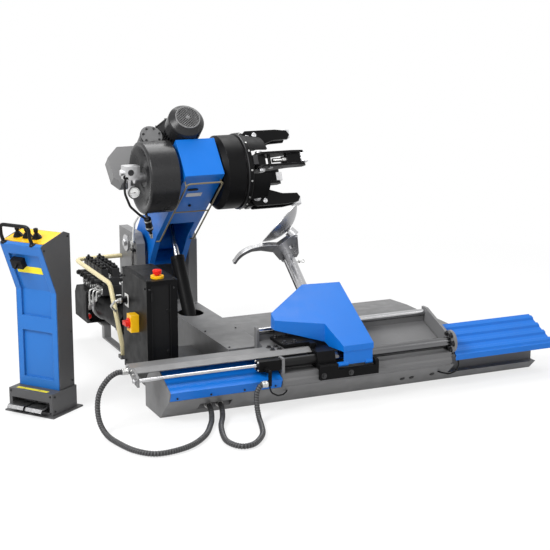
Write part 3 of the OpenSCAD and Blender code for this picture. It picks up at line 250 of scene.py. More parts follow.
def stub(sides, radius, height, lift=0.0):
    """A short bar along Z, left in edit mode with its top face picked."""
    clear()
    bpy.ops.mesh.primitive_cylinder_add(vertices=sides, radius=radius, depth=height,
                                        location=(0, 0, height / 2 + lift))
    bar = bpy.context.object
    bpy.ops.object.transform_apply(location=True)
    edit(bar)
    bpy.ops.object.mode_set(mode="OBJECT")
    for face in bar.data.polygons:
        face.select = face.normal.z > 0.9
    bpy.ops.object.mode_set(mode="EDIT")
    bpy.ops.mesh.select_mode(type="FACE")
    return bar


def hex_bolt(across, height):
    """A hexagon head with a chamfered crown on its washer."""
    head = stub(6, across / math.sqrt(3), height, 0.14 * across)
    for thickness, depth in ((0.1, 0.08), (0.16, 0), (0.02, -0.04)):
        bpy.ops.mesh.inset(thickness=thickness * across, depth=depth * across)
    bpy.ops.object.mode_set(mode="OBJECT")
    profile = ((0, 0), (0.94, 0), (0.94, 0.1), (0.88, 0.16), (0, 0.16))
    washer = turned([(r * across, z * across) for r, z in profile], 20)
    return tidy(joined([head, washer]), 25)


def socket_screw(diameter, height):
    """A round screw head with a socket in its crown."""
    head = stub(18, diameter / 2, height)
    for thickness, depth in ((0.06, 0.05), (0.18, 0)):
        bpy.ops.mesh.inset(thickness=thickness * diameter, depth=depth * diameter)
    bpy.ops.mesh.extrude_region_move(TRANSFORM_OT_translate={"value": (0, 0, -0.5 * height)})
    bpy.ops.object.mode_set(mode="OBJECT")
    return tidy(head, 30)


def on_circle(place, radius, count, start=0.0):
    """Places round Z of a place."""
    return [place @ turn("Z", start + 360 * k / count) @ moved(radius, 0, 0) for k in range(count)]


# The record's slot that a finish belongs to, where a piece doesn't say otherwise
FINISH_SLOT = {
    "black_moulding": "black_plastic", "dark_fastener": "black_paint", "black_tube_coat": "black_paint",
    "zinc_fastener": "bright_steel", "milled_steel": "bright_steel", "cast_steel": "bright_steel",
    "white_moulding": "bright_steel", "dial_white": "bright_steel", "gauge_glass": "chrome",
    "mid_grey_coat": "grey_paint", "tower_grey_coat": "grey_paint", "gloss_casting": "dark_casting",
    "sand_casting": "dark_casting", "cream_coat": "cream_paint", "wire_coat": "cream_paint",
    "plate_yellow": "yellow_paint", "red_moulding": "red_plastic", "ribbed_rubber": "hose_rubber",
}


def piece(obj, name, finish, body, at=None, slot=None, stands_for=None):
    """Puts a finished shape in its place, names it, gives it its material and lets it ride on its body."""
    if at is not None:
        shift(obj, at)
    obj.name = obj.data.name = name
    obj.data.materials.clear()
    obj.data.materials.append(bpy.data.materials[finish])
    slot or FINISH_SLOT[finish]
    if body:
        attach(obj, body)
    if stands_for:
        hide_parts(stands_for)
    return obj


# Finishes
class Tree:
    """Shader nodes of a world or a material."""

    def __init__(self, tree):
        self.nodes, self.links = tree.nodes, tree.links

    def put(self, node, socket, value):
        if isinstance(value, bpy.types.NodeSocket):
            self.links.new(value, node.inputs[socket])
        else:
            node.inputs[socket].default_value = value

    def add(self, kind, inputs=None, **options):
        node = self.nodes.new(kind)
        for option, value in options.items():
            setattr(node, option, value)
        for socket, value in (inputs or {}).items():
            self.put(node, socket, value)
        return node

    def seen_directly(self):
        """A factor of 1 for camera, mirror and glass rays."""
        rays = self.add("ShaderNodeLightPath").outputs
        seen = rays["Is Camera Ray"]
        for other in ("Is Glossy Ray", "Is Transmission Ray"):
            seen = self.add("ShaderNodeMath", {0: seen, 1: rays[other]}, operation="MAXIMUM").outputs[0]
        return seen


class Graph(Tree):
    """Shader nodes of one new material, on the piece's object coordinates."""

    def __init__(self, name, **sockets):
        self.material = bpy.data.materials.new(name)
        self.material.use_nodes = True
        super().__init__(self.material.node_tree)
        self.shader = self.nodes["Principled BSDF"]
        self.place = self.add("ShaderNodeTexCoord").outputs["Object"]
        self.use(**sockets)

    def use(self, **sockets):
        for socket, value in sockets.items():
            self.put(self.shader, socket.replace("_", " "), value)

    def noise(self, scale, detail=3.0, stretch=None):
        place = self.place
        if stretch:
            place = self.add("ShaderNodeMapping", {"Vector": place, "Scale": stretch}).outputs[0]
        return self.add("ShaderNodeTexNoise",
                        {"Vector": place, "Scale": scale, "Detail": detail}).outputs["Fac"]

    def ramp(self, value, low, high, to_low=0.0, to_high=1.0):
        return self.add("ShaderNodeMapRange", {"Value": value, "From Min": low, "From Max": high,
                                               "To Min": to_low, "To Max": to_high}).outputs[0]

    def times(self, a, b):
        return self.add("ShaderNodeMath", {0: a, 1: b}, operation="MULTIPLY").outputs[0]

    def mix(self, share, a, b):
        return self.add("ShaderNodeMix", {0: share, 6: a, 7: b}, data_type="RGBA").outputs[2]

    def tones(self, share, colour, darker, lighter):
        """The colour drifting between two shades of itself."""
        return self.mix(share, shade_of(colour, darker), shade_of(colour, lighter))

    def patches(self, value, low, high):
        """The middle of a noise, spread from low to high."""
        return self.ramp(value, 0.3, 0.7, low, high)

    def rounded(self, radius):
        return self.add("ShaderNodeBevel", {"Radius": radius}, samples=4).outputs[0]

    def edges(self, rounded):
        """1 where the surface turns at an edge, 0 on flat faces."""
        flat = self.add("ShaderNodeNewGeometry").outputs["Normal"]
        same = self.add("ShaderNodeVectorMath", {0: rounded, 1: flat}, operation="DOT_PRODUCT").outputs["Value"]
        return self.ramp(same, 0.97, 0.78)

    def bump(self, height, strength, distance, normal=None):
        node = self.add("ShaderNodeBump", {"Height": height, "Strength": strength, "Distance": distance})
        if normal is not None:
            self.put(node, "Normal", normal)
        self.use(Normal=node.outputs[0])


def shade_of(colour, factor):
    return (*[min(1.0, c * factor) for c in colour[:3]], 1)


def painted(name, colour, gloss, worn_to, wear=0.6, drift=0.1, radius=0.003, peel=0.05, shine=0.3):
    """Sprayed paint: slow drift of tone, fine orange peel, rubbed edges and dulled patches."""
    g = Graph(name, Specular_IOR_Level=shine)
    rounded = g.rounded(radius)
    tone = g.tones(g.noise(3.5, 5), colour, 1 - drift, 1 + drift)
    rubbed = g.times(g.edges(rounded), g.ramp(g.noise(38, 8), 0.44, 0.62, 0, wear))
    specks = g.ramp(g.noise(150, 2), 0.7, 0.76, 0, 0.25 * wear)
    tone = g.mix(specks, tone, shade_of(colour, 0.6))
    g.use(Base_Color=g.mix(rubbed, tone, (*worn_to, 1)),
          Roughness=g.patches(g.noise(14, 6), gloss - 0.06, gloss + 0.1))
    g.bump(g.noise(520, 2), peel, 0.0012, rounded)


def cast(name, colour, gloss):
    """Painted casting: coarse sand texture under the paint."""
    g = Graph(name, Specular_IOR_Level=0.35)
    rounded = g.rounded(0.004)
    tone = g.tones(g.noise(9, 6), colour, 0.75, 1.3)
    rubbed = g.times(g.edges(rounded), g.ramp(g.noise(45, 8), 0.42, 0.6, 0, 0.5))
    g.use(Base_Color=g.mix(rubbed, tone, shade_of(colour, 3.2)),
          Roughness=g.patches(g.noise(30, 6), gloss - 0.08, gloss + 0.12))
    g.bump(g.noise(330, 4), 0.35, 0.0016, rounded)


def machined(name, colour, gloss, stretch, depth=0.12, dirt=0.5):
    """Bare steel with fine tool marks along one direction and a little oil staining."""
    g = Graph(name, Metallic=1.0)
    rounded = g.rounded(0.0015)
    marks = g.noise(60, 4, stretch)
    stain = g.ramp(g.noise(11, 7), 0.5, 0.75, 0, dirt)
    g.use(Base_Color=g.mix(stain, g.tones(marks, colour, 0.82, 1.08), shade_of(colour, 0.45)),
          Roughness=g.patches(marks, gloss - 0.05, gloss + 0.12))
    g.bump(marks, depth, 0.0006, rounded)


def half_painted(name, colour, steel, change):
    """A tube that is painted up to one place along X and ground bright beyond it."""
    g = Graph(name, Specular_IOR_Level=0.2)
    along = g.add("ShaderNodeSeparateXYZ", {"Vector": g.place}).outputs["X"]
    bright = g.ramp(along, change - 0.0006, change + 0.0006)
    marks = g.noise(60, 4, (0.15, 6, 6))
    paint = g.tones(g.noise(5, 5), colour, 0.8, 1.25)
    g.use(Base_Color=g.mix(bright, paint, g.tones(marks, steel, 0.82, 1.08)), Metallic=bright,
          Roughness=g.ramp(bright, 0, 1, 0.36, 0.17))
    g.bump(marks, 0.05, 0.0006, g.rounded(0.0015))


def moulded(name, colour, gloss, grain):
    """Moulded plastic with a fine grain."""
    g = Graph(name, Specular_IOR_Level=0.12)
    rounded = g.rounded(0.0015)
    g.use(Base_Color=g.tones(g.noise(25, 5), colour, 0.85, 1.2),
          Roughness=g.patches(g.noise(60, 4), gloss - 0.05, gloss + 0.08))
    g.bump(g.noise(grain, 2), 0.15, 0.0008, rounded)


def rubber(name, colour):
    """Hose rubber: dull, dusted grey in patches, with painted shade darkening the grooves between the crests."""
    g = Graph(name, Specular_IOR_Level=0.4)
    dust = g.ramp(g.noise(22, 6), 0.5, 0.8, 0, 0.25)
    crest = g.mix(dust, g.tones(g.noise(160, 3), colour, 0.8, 1.25), shade_of(colour, 2.2))
    groove = g.add("ShaderNodeAttribute", attribute_name="groove").outputs["Fac"]
    # Painted shade: the groove attribute takes the grooves to near black, as the shade that falls in them
    g.use(Base_Color=g.mix(g.ramp(groove, 0.15, 0.7), crest, shade_of(colour, 0.08)),
          Roughness=g.patches(g.noise(70, 4), 0.32, 0.5))
    g.bump(g.noise(650, 3), 0.2, 0.0006)


def clear_glass(name):
    """Thin gauge glass with faint smears."""
    g = Graph(name, Base_Color=(1, 1, 1, 1), Transmission_Weight=1.0, IOR=1.2)
    g.use(Roughness=g.ramp(g.noise(80, 4), 0.4, 0.7, 0.02, 0.08))


NODE_FINISH = {
    "blue_coat": "front_cover ribbed_cover tool_hood hood_front arm_box",
    "pedestal_blue": "pedestal_front",
    "mid_grey_coat": "base_frame slant_bed wheel_platform",
    "tower_grey_coat": "tower lift_housing pump_bracket belt_guard bar_brackets carriage_beam beam_end_plate",
    "shell_grey_coat": "pedestal_base pedestal_shell",
    "black_coat": "gland_block control_cabinet hydraulic_tank pump_motor carriage_block post_housing "
                  "lift_barrel",
    "chuck_black": "chuck_drum jaw_1 jaw_2 jaw_3 jaw_4",
    "gloss_casting": "gearbox_casing drive_motor fan_cover",
    "sand_casting": "valve_stack",
    "bare_aluminium": "rotary_union",
    "black_moulding": "cabinet_cover lever_box joystick_1 joystick_2 joystick_3",
    "milled_steel": "pivot_pins tool_head",
    "cast_steel": "mount_hook",
    "worn_steel": "bead_disc pedal_left pedal_right",
    "black_and_chrome": "front_guide_tube",
    "hard_chrome": "rear_rest_bar piston_rod tool_post lift_rod",
    "cream_coat": "guard_tube wire_guard pedestal_handle",
    "yellow_coat": "safety_bases pedestal_top",
    "red_moulding": "switch_knob estop_button",
    "ribbed_rubber": "hose_short hose_long",
}


def colour_choice(name, description, *colour):
    return bpy.props.FloatVectorProperty(name=name, description=description, subtype="COLOR", default=colour,
                                         min=0, max=1)


class ChangerColours(bpy.types.PropertyGroup):
    """Colours of the machine's finishes."""

    blue: colour_choice("Blue", "Covers and chuck arm", 0.003, 0.145, 0.57)
    pedestal_blue: colour_choice("Pedestal blue", "Moulded front of the pedestal", 0.014, 0.13, 0.43)
    grey: colour_choice("Grey", "Base, bed and platform", 0.135, 0.135, 0.137)
    tower_grey: colour_choice("Tower grey", "Tower, guards and brackets", 0.17, 0.17, 0.172)
    shell_grey: colour_choice("Shell grey", "Shell and foot of the pedestal", 0.07, 0.07, 0.072)
    black: colour_choice("Black", "Cabinet, carriage and chuck", 0.005, 0.005, 0.0053)
    cream: colour_choice("Cream", "Guard tube", 0.66, 0.58, 0.34)
    yellow: colour_choice("Yellow", "Pedestal top and safety bases", 0.90, 0.50, 0.006)
    red: colour_choice("Red", "Emergency stop and switch", 0.68, 0.02, 0.012)


class ChangerSizes(bpy.types.PropertyGroup):
    """Sizes of the modelled details."""

    rib_pitch: bpy.props.FloatProperty(name="Rib pitch", description="Distance between the ribs of a hose",
                                       default=0.0145, min=0.004, max=0.03, unit="LENGTH")
    hose_diameter: bpy.props.FloatProperty(name="Hose diameter", description="Outer diameter of the hoses",
                                           default=0.030, min=0.02, max=0.032, unit="LENGTH")
    light_level: bpy.props.FloatProperty(name="Light level", description="Share of the plain light level",
                                         default=1.0, min=0.2, max=2.0, subtype="FACTOR")


def colours():
    return bpy.context.scene.changer_colours


def sizes():
    return bpy.context.scene.changer_sizes


CAMERA_AT, CAMERA_TURN, LENS = (-3.551, -6.970, 2.45), (76.99, 0, -24.03), 93.6
# Place, aim and size in metres, and power in watts
LAMPS = (((-5.0, -1.4, 4.6), (0, 0.3, 0.6), 2.6, 350), ((-0.6, -5.6, 4.4), (0, 0.2, 0.6), 3.2, 84),
         ((4.2, -2.6, 3.4), (0, 0.2, 0.7), 3.0, 40), ((0.5, 2.6, 5.2), (0, 0.6, 0.4), 3.4, 205))
WORLD_LEVEL, FLOOR_SIZE, FLOOR_LEVEL = 0.38, 60, -0.0008


class ChangerOperator(bpy.types.Operator):
    """Shared options of the builders."""

    bl_options = {"REGISTER", "UNDO"}


class CHANGER_OT_stage(ChangerOperator):
    """Camera at the photograph's angle, pale floor and soft light"""

    bl_idname = "changer.stage"
    bl_label = "Stage"

    def execute(self, context):
        clear()
        bpy.ops.object.camera_add(location=CAMERA_AT, rotation=[math.radians(a) for a in CAMERA_TURN])
        camera = context.object
        camera.data.lens = LENS
        camera.data.sensor_width = 36
        context.scene.camera = camera
        self.world(context)
        self.floor()
        for place, aim, size, power in LAMPS:
            bpy.ops.object.light_add(type="AREA", location=place)
            lamp = context.object
            lamp.data.size = size
            lamp.data.energy = power * sizes().light_level
            lamp.rotation_euler = (Vector(aim) - Vector(place)).to_track_quat("-Z", "Y").to_euler()
        context.scene.view_settings.view_transform = "Standard"
        return {"FINISHED"}

    def world(self, context):
        world = context.scene.world or bpy.data.worlds.new("studio")
        context.scene.world = world
        world.use_nodes = True
        tree = Tree(world.node_tree)
        tree.nodes.clear()
        soft, plain = [tree.add("ShaderNodeBackground", {"Color": (1, 1, 1, 1), "Strength": level}).outputs[0]
                       for level in (WORLD_LEVEL, 1.0)]
        mix = tree.add("ShaderNodeMixShader", {0: tree.seen_directly(), 1: soft, 2: plain})
        tree.add("ShaderNodeOutputWorld", {0: mix.outputs[0]})

    def floor(self):
        clear()
        bpy.ops.mesh.primitive_plane_add(size=FLOOR_SIZE, location=(0, 0, FLOOR_LEVEL))
        floor = bpy.context.object
        bpy.ops.object.transform_apply(location=True)
        floor.name = "floor"
        g = Graph("pale_floor", Roughness=0.9, Specular_IOR_Level=0.0)
        g.use(Base_Color=g.mix(g.noise(0.8, 3), (0.86, 0.86, 0.86, 1), (0.9, 0.9, 0.9, 1)))
        glow = g.add("ShaderNodeEmission", {"Strength": 1.0}).outputs[0]
        away = g.add("ShaderNodeVectorMath", {0: g.place}, operation="LENGTH").outputs["Value"]
        share = g.times(g.seen_directly(), g.ramp(away, 2.2, 4.5, 0.72, 1.0))
        mix = g.add("ShaderNodeMixShader", {0: share, 1: g.shader.outputs[0], 2: glow})
        g.put(g.nodes["Material Output"], 0, mix.outputs[0])
        floor.data.materials.append(g.material)


class CHANGER_OT_finishes(ChangerOperator):
    """All materials, and the solids' own finishes"""

    bl_idname = "changer.finishes"
    bl_label = "Finishes"

    def execute(self, context):
        c = colours()
        painted("blue_coat", c.blue, 0.36, (0.16, 0.32, 0.6), drift=0.08, shine=0.28)
        painted("pedestal_blue", c.pedestal_blue, 0.34, (0.2, 0.42, 0.8), 0.3, 0.06, 0.006)
        painted("mid_grey_coat", c.grey, 0.42, (0.32, 0.32, 0.33), drift=0.14)
        painted("tower_grey_coat", c.tower_grey, 0.4, (0.4, 0.4, 0.41), drift=0.12)
        painted("shell_grey_coat", c.shell_grey, 0.46, (0.22, 0.22, 0.225), drift=0.1, peel=0.12)
        painted("black_coat", c.black, 0.4, (0.06, 0.06, 0.064), drift=0.25, shine=0.07)
        painted("chuck_black", shade_of(c.black, 1.1), 0.4, (0.16, 0.16, 0.17), 0.8, 0.25, shine=0.08)
        painted("cream_coat", c.cream, 0.3, (0.62, 0.62, 0.63), wear=0.5)
        painted("black_tube_coat", shade_of(c.black, 0.9), 0.32, (0.1, 0.1, 0.105), 0.6, 0.2, shine=0.2)
        painted("yellow_coat", c.yellow, 0.32, (0.9, 0.72, 0.3), drift=0.06)
        painted("plate_yellow", (0.8, 0.66, 0.01), 0.3, (0.8, 0.72, 0.4), 0.3, 0.05, 0.001)
        painted("gloss_casting", (0.018, 0.018, 0.019), 0.24, (0.12, 0.12, 0.125), drift=0.2, peel=0.1,
                shine=0.26)
        painted("wire_coat", (0.2, 0.17, 0.1), 0.34, (0.4, 0.38, 0.34), wear=0.8, radius=0.001)
        cast("sand_casting", (0.02, 0.02, 0.021), 0.4)
        machined("milled_steel", (0.56, 0.56, 0.57), 0.32, (1, 1, 9))
        machined("hard_chrome", (0.5, 0.5, 0.51), 0.14, (0.15, 6, 6), 0.05, 0.3)
        # Painted reflection: the ground part's steel is darkened to 0.16 for the dark surroundings that the
        # chrome reflects
        half_painted("black_and_chrome", c.black, (0.16, 0.16, 0.165), -0.305)
        machined("bare_aluminium", (0.66, 0.66, 0.67), 0.34, (1, 1, 1), 0.06, 0.12)
        machined("worn_steel", (0.36, 0.36, 0.365), 0.3, (2, 2, 5), 0.1, 0.4)
        machined("cast_steel", (0.48, 0.48, 0.485), 0.38, (1, 1, 1), 0.3, 0.6)
        machined("zinc_fastener", (0.55, 0.55, 0.54), 0.3, (3, 3, 3), 0.1, 0.5)
        machined("dark_fastener", (0.06, 0.06, 0.062), 0.36, (3, 3, 3), 0.1, 0.4)
        moulded("black_moulding", (0.008, 0.008, 0.0084), 0.44, 700)
        moulded("red_moulding", c.red, 0.28, 900)
        moulded("white_moulding", (0.75, 0.75, 0.73), 0.4, 700)
        moulded("dial_white", (0.86, 0.86, 0.84), 0.5, 900)
        rubber("ribbed_rubber", (0.055, 0.055, 0.057))
        clear_glass("gauge_glass")
        for finish, nodes in NODE_FINISH.items():
            for node in nodes.split():
                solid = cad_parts[node]
                if not solid.material_slots:
                    solid.data.materials.append(None)
                for slot in solid.material_slots:
                    slot.material = bpy.data.materials[finish]
        return {"FINISHED"}


# Routes of the hoses, as points in millimetres of the machine
ROUTE_LONG = ((246, -40, 58), (246, -76, 57), (238, -122, 46), (222, -172, 29), (188, -245, 17), (93, -404, 17),
              (-43, -522, 17), (-209, -556, 17), (-300, -470, 17), (-348, -305, 17), (-364, -195, 25),
              (-372, -118, 62), (-370, -76, 130), (-350, -56, 204), (-302, -42, 262), (-254, -29, 286),
              (-222, -25, 288), (-186, -25, 288))
ROUTE_SHORT = ((310, -40, 58), (310, -76, 57), (300, -125, 45), (276, -190, 26), (222, -305, 17),
               (170, -480, 17), (172, -570, 17), (206, -625, 17), (264, -622, 17), (322, -570, 17),
               (380, -482, 17), (426, -355, 17), (444, -285, 30), (452, -240, 78), (464, -208, 130),
               (486, -192, 162), (508, -186, 173), (536, -185, 174))
ROUTE_ARM = ((346, 1452, 652), (344, 1440, 700), (336, 1385, 785), (322, 1275, 842), (308, 1150, 880),
             (299, 1075, 896), (296, 1050, 898))
ROUTE_GLAND = ((553, -182, 178), (548, -190, 150), (562, -186, 119), (602, -176, 97), (644, -152, 91),
               (676, -120, 93), (688, -104, 97))
ROUTE_END = ((1713, -126, 204), (1732, -150, 166), (1737, -153, 126), (1722, -150, 88), (1684, -140, 74),
             (1650, -108, 78), (1638, -88, 82))
# Where the long hose begins to follow the carriage, and where it follows it fully; the hose is not made to follow
# it
LONG_BLEND = ((-365, -68, 160), (-339.3, -68, 313.7))
ARM_HOSE, CABLE, CABLE_BEND = 14, 9, 45
CURVE_STEPS = 60
# Rings to a rib, points round a ring, and depth of the groove in metres
RIB_RINGS, RING_POINTS, GROOVE_DEPTH = 6, 20, 0.0027


def in_frame(points):
    return [MACHINE @ Vector(p) for p in points]


def length_of(path):
    return sum((b - a).length for a, b in zip(path, path[1:]))


class CHANGER_OT_hoses(ChangerOperator):
    """The two ribbed hoses, the light hose up to the gearbox and two short cables"""

    bl_idname = "changer.hoses"
    bl_label = "Ribbed hoses"

    def execute(self, context):
        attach(self.hose("ribbed_hose_short", ROUTE_SHORT, "hose_short"), "base")
        long = self.hose("ribbed_hose_long", ROUTE_LONG, "hose_long")
        start, end = in_frame(LONG_BLEND)
        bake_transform(long)
        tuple(start)
        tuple(end)
        arm = self.plain_hose("arm_hose", ROUTE_ARM, ARM_HOSE, "white_moulding")
        start, end = in_frame((ROUTE_ARM[1], ROUTE_ARM[-2]))
        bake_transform(arm)
        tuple(start)
        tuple(end)
        for name, route in (("gland_cable", ROUTE_GLAND), ("end_cable", ROUTE_END)):
            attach(self.plain_hose(name, route, CABLE, "black_moulding"), "base")
        return {"FINISHED"}

    def plain_hose(self, name, route, diameter, finish):
        """A smooth hose or cable whose two ends go into the machine."""
        obj = piece(pipe(route, diameter, CABLE_BEND), name, finish, None, MACHINE, "hose_rubber")
        path = in_frame(route)
        return self.as_cord(obj, path, length_of(path), diameter / 1000)

    def hose(self, name, route, node):
        path = self.centre_line(in_frame(route), sizes().rib_pitch / RIB_RINGS)
        obj = piece(self.ribbed_tube(path), name, "ribbed_rubber", None, stands_for=node)
        return self.as_cord(obj, path[::RIB_RINGS] + [path[-1]], length_of(path), sizes().hose_diameter)

    def as_cord(self, obj, path, length, diameter):
        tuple(path[0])
        return obj

    def centre_line(self, route, step):
        """The smooth curve through the route, in even steps."""
        last = len(route) - 1
        fine = []
        for i in range(last):
            a, b, c, d = route[max(i - 1, 0)], route[i], route[i + 1], route[min(i + 2, last)]
            for k in range(CURVE_STEPS):
                t = k / CURVE_STEPS
                fine.append(0.5 * (2 * b + (c - a) * t + (2 * a - 5 * b + 4 * c - d) * t ** 2
                                   + (3 * b - a - 3 * c + d) * t ** 3))
        fine.append(route[-1])
        total = length_of(fine)
        count = round(total / step)
        path, run, i = [], 0.0, 0
        for k in range(count + 1):
            want = total * k / count
            while i < len(fine) - 2 and run + (fine[i + 1] - fine[i]).length < want:
                run += (fine[i + 1] - fine[i]).length
                i += 1
            t = (want - run) / (fine[i + 1] - fine[i]).length
            path.append(fine[i].lerp(fine[i + 1], min(1.0, t)))
        return path

    def ribbed_tube(self, path):
        """Rings round the line: a wound rib with a round crest and a narrow groove."""
        radius, sides, last = sizes().hose_diameter / 2, RING_POINTS, len(path) - 1
        points, faces, grooves = [], [], []
        across = Vector(UP)
        for i, at in enumerate(path):
            heading = (path[min(i + 1, last)] - path[max(i - 1, 0)]).normalized()
            across = (across - heading * across.dot(heading)).normalized()
            other = heading.cross(across)
            for k in range(sides):
                a = 2 * math.pi * k / sides
                groove = (0.5 + 0.5 * math.cos(2 * math.pi * i / RIB_RINGS + a)) ** 1.6
                grooves.append(groove)
                r = radius - GROOVE_DEPTH * groove
                points.append(at + r * (across * math.cos(a) + other * math.sin(a)))
        for i, k in product(range(last), range(sides)):
            m = (k + 1) % sides
            faces.append((i * sides + k, i * sides + m, (i + 1) * sides + m, (i + 1) * sides + k))
        end = last * sides
        faces += [tuple(reversed(range(sides))), tuple(range(end, end + sides))]
        obj = from_points(points, faces=faces)
        # The groove depth is stored as an attribute, from which the rubber paints shade into the grooves
        obj.data.attributes.new("groove", "FLOAT", "POINT").data.foreach_set("value", grooves)
        select(obj)
        bpy.ops.object.shade_smooth_by_angle(angle=math.radians(70))
        return obj


class CHANGER_OT_bent_bars(ChangerOperator):
    """Guard tube, wire guard and pedestal handle with swept bends"""

    bl_idname = "changer.bent_bars"
    bl_label = "Bent bars"

    def execute(self, context):
        tube = pipe(((360, 1740, 508), (55, 1740, 508), (55, 1020, 508), (55, 802, 170), (55, 802, 130)), 28, 75)
        piece(tube, "swept_guard_tube", "cream_coat", "base", MACHINE, stands_for="guard_tube")
        left, right, low, root = 450, 670, -190, -145
        wire = pipe(((left, -250, root), (left, -330, low), (left, -985, low), (right, -985, low),
                     (right, -330, low), (right, -250, root)), 10, 24)
        cross = pipe(((left, -668, low), (right, -668, low)), 8, 1)
        posts = [pipe(((x, -955, low), (x, -955, root)), 8, 1) for x in (left, right)]
        piece(joined([wire, cross, *posts]), "swept_wire_guard", "wire_coat", "chuck_arm", ARM,
              stands_for="wire_guard")
        left, right = 46, 233
        foot, knee, top = (-8.1, 935.1), (-26.3, 977.4), (-32.3, 1033.1)
        line = [(left, *p) for p in (foot, knee, top)] + [(right, *p) for p in (top, knee, foot)]
        collar = turned([(0, -2), (17, -2), (17, 1), (13, 7), (10, 9), (0, 9)], 24)
        collars = repeat(collar, spots(PANEL_UP, ((left, *foot), (right, *foot))))
        piece(joined([pipe(line, 20, 32), collars]), "swept_handle", "black_tube_coat", "base", PEDESTAL,
              stands_for="pedestal_handle")
        return {"FINISHED"}


class CHANGER_OT_fasteners(ChangerOperator):
    """Bolts and screws of every group"""

    bl_idname = "changer.fasteners"
    bl_label = "Bolts and screws"

    def execute(self, context):
        groups = (self.on_base, self.on_pedestal, self.on_carriage, self.on_arm, self.on_chuck, self.on_tool)
        for shape, places, name, finish, body, at in chain.from_iterable(group() for group in groups):
            piece(repeat(shape, places), name, finish, body, at)
        return {"FINISHED"}

    def on_base(self):
        flange = on_circle(moved(1696, -110, 256) @ AGAINST_X, 48, 6, 30)
        foot = spots(UP, product((345, 775), (1380, 1570, 1770), (130,)))
        yield hex_bolt(18, 10), flange + foot, "base_bolts", "dark_fastener", "base", MACHINE
        plug = turned([(0, -1), (15, -1), (15, 1.4), (12.5, 3.2), (0, 3.2)], 28)
        holes = [(x, -1.109 * z, z) for x, z in ((1424, 56.5), (1482, 57.5), (1612, 63))]
        yield plug, spots((0, -0.669, -0.743), holes), "base_plugs", "black_moulding", "base", MACHINE
        gland = spots(LEFT, product((510,), (-129, -93), (235, 277)))
        yield socket_screw(12, 7), gland, "gland_screws", "zinc_fastener", "base", MACHINE
        cover = spots((0, -0.918, -0.396), product((40, 230, 420, 600), (-148.6,), (145.3,)))
        lid = spots(UP, product((14, 161), (212, 588), (700,)))
        door = spots(FRONT, product((16, 154), (195,), (170, 655)))
        side = spots(LEFT, product((0,), (225, 578), (165, 655)))
        housing = spots(UP, product((505, 695), (270, 640, 1290), (260,)))
        places = cover + lid + door + side + housing
        yield socket_screw(11, 4.5), places, "cover_screws", "dark_fastener", "base", MACHINE

    def on_pedestal(self):
        shell = [facing((x, *yz), normal) for x, normal in ((299, RIGHT), (26, LEFT))
                 for yz in ((4, 908), (206, 952), (210, 430), (206, 160))]
        foot = spots(FRONT, product((32, 293), (18,), (22, 114)))
        foot += [facing((x, 40, z), normal) for x, normal in ((307, RIGHT), (18, LEFT)) for z in (30, 108)]
        yield socket_screw(10, 4), shell + foot, "pedestal_screws", "dark_fastener", "base", PEDESTAL

    def on_carriage(self):
        bolts = spots(FRONT, product((872, 1036), (-186,), (176,)))
        bolts += spots(UP, product((722, 780), (4, 128), (330,)))
        bolts += spots(UP, product((640, 680), (-20, 30), (306,)))
        yield hex_bolt(17, 9), bolts, "carriage_bolts", "dark_fastener", "carriage", MACHINE
        plate = spots(LEFT, ((-172, -80, 282), (-172, -52, 297), (-172, 30, 298)))
        yield socket_screw(12, 7), plate, "end_plate_screws", "zinc_fastener", "carriage", MACHINE

    def on_arm(self):
        cover = on_circle(moved(352, -893, 214) @ AGAINST_Y, 51, 7, 12)
        yield socket_screw(13, 6), cover, "worm_cover_bolts", "dark_fastener", "chuck_arm", ARM
        flange = on_circle(moved(0, 0, 705), 95, 4, 45)
        yield socket_screw(15, 9), flange, "motor_flange_screws", "dark_fastener", "chuck_arm", MOTOR

    def on_chuck(self):
        ring = on_circle(moved(870, 0, 0) @ ALONG_X, 165, 12, JAW_TURN + 15)
        yield hex_bolt(17, 10), ring, "chuck_face_bolts", "zinc_fastener", "chuck", SPINDLE
        band = [jaw_turn(i) @ turn("X", 45 + k) @ moved(854, 0, 226) for i in range(JAW_COUNT)
                for k in (-30, -14, 14, 30)]
        yield socket_screw(12, 4), band, "chuck_band_screws", "zinc_fastener", "chuck", SPINDLE

    def on_tool(self):
        plate = spots(UP, ((-30, -150, 201.4), (14, -150, 201.4)))
        yield hex_bolt(14, 8), plate, "tool_head_bolts", "zinc_fastener", "turning_head", POST


class CHANGER_OT_gauge(ChangerOperator):
    """Pressure gauge of the oil union: case, dial with ticks, needle and glass"""

    bl_idname = "changer.gauge"
    bl_label = "Pressure gauge"

    def execute(self, context):
        face = UNION @ moved(170, -104, -66) @ AGAINST_Y
        case = turned([(26, -0.4), (36.6, -0.4), (37.4, 1), (37.4, 4), (35.5, 6.4), (32.6, 6.4), (31.6, 4.6),
                       (31.6, 0.4)], 64)
        dial = turned([(0, 0.2), (31.8, 0.2), (31.8, 1.4), (31, 1.8), (0, 1.8)], 64)
        marks = [shift(slab(-0.5, 25 if k % 5 else 22, 0.5, 29, 0.4), turn("Z", 135 - 9 * k) @ moved(0, 0, 1.8))
                 for k in range(31)]
        needle = prism(((-1.2, -8), (1.2, -8), (0.3, 25), (-0.3, 25)), 0.8)
        hub = turned([(0, 1.8), (3.4, 1.8), (3.4, 3.4), (2.4, 4), (0, 4)], 20)
        marks += [shift(needle, turn("Z", 96) @ moved(0, 0, 2.3)), hub]
        glass = turned([(0, 4.6), (32.2, 4.6), (32.2, 5.4), (20, 6), (0, 6.2)], 48)
        for shape, name, finish in ((case, "gauge_case", "dark_fastener"), (dial, "gauge_dial", "dial_white"),
                                    (joined(marks), "gauge_marks", "black_moulding"),
                                    (glass, "gauge_glass", "gauge_glass")):
            piece(shape, name, finish, "chuck_arm", face)
        return {"FINISHED"}


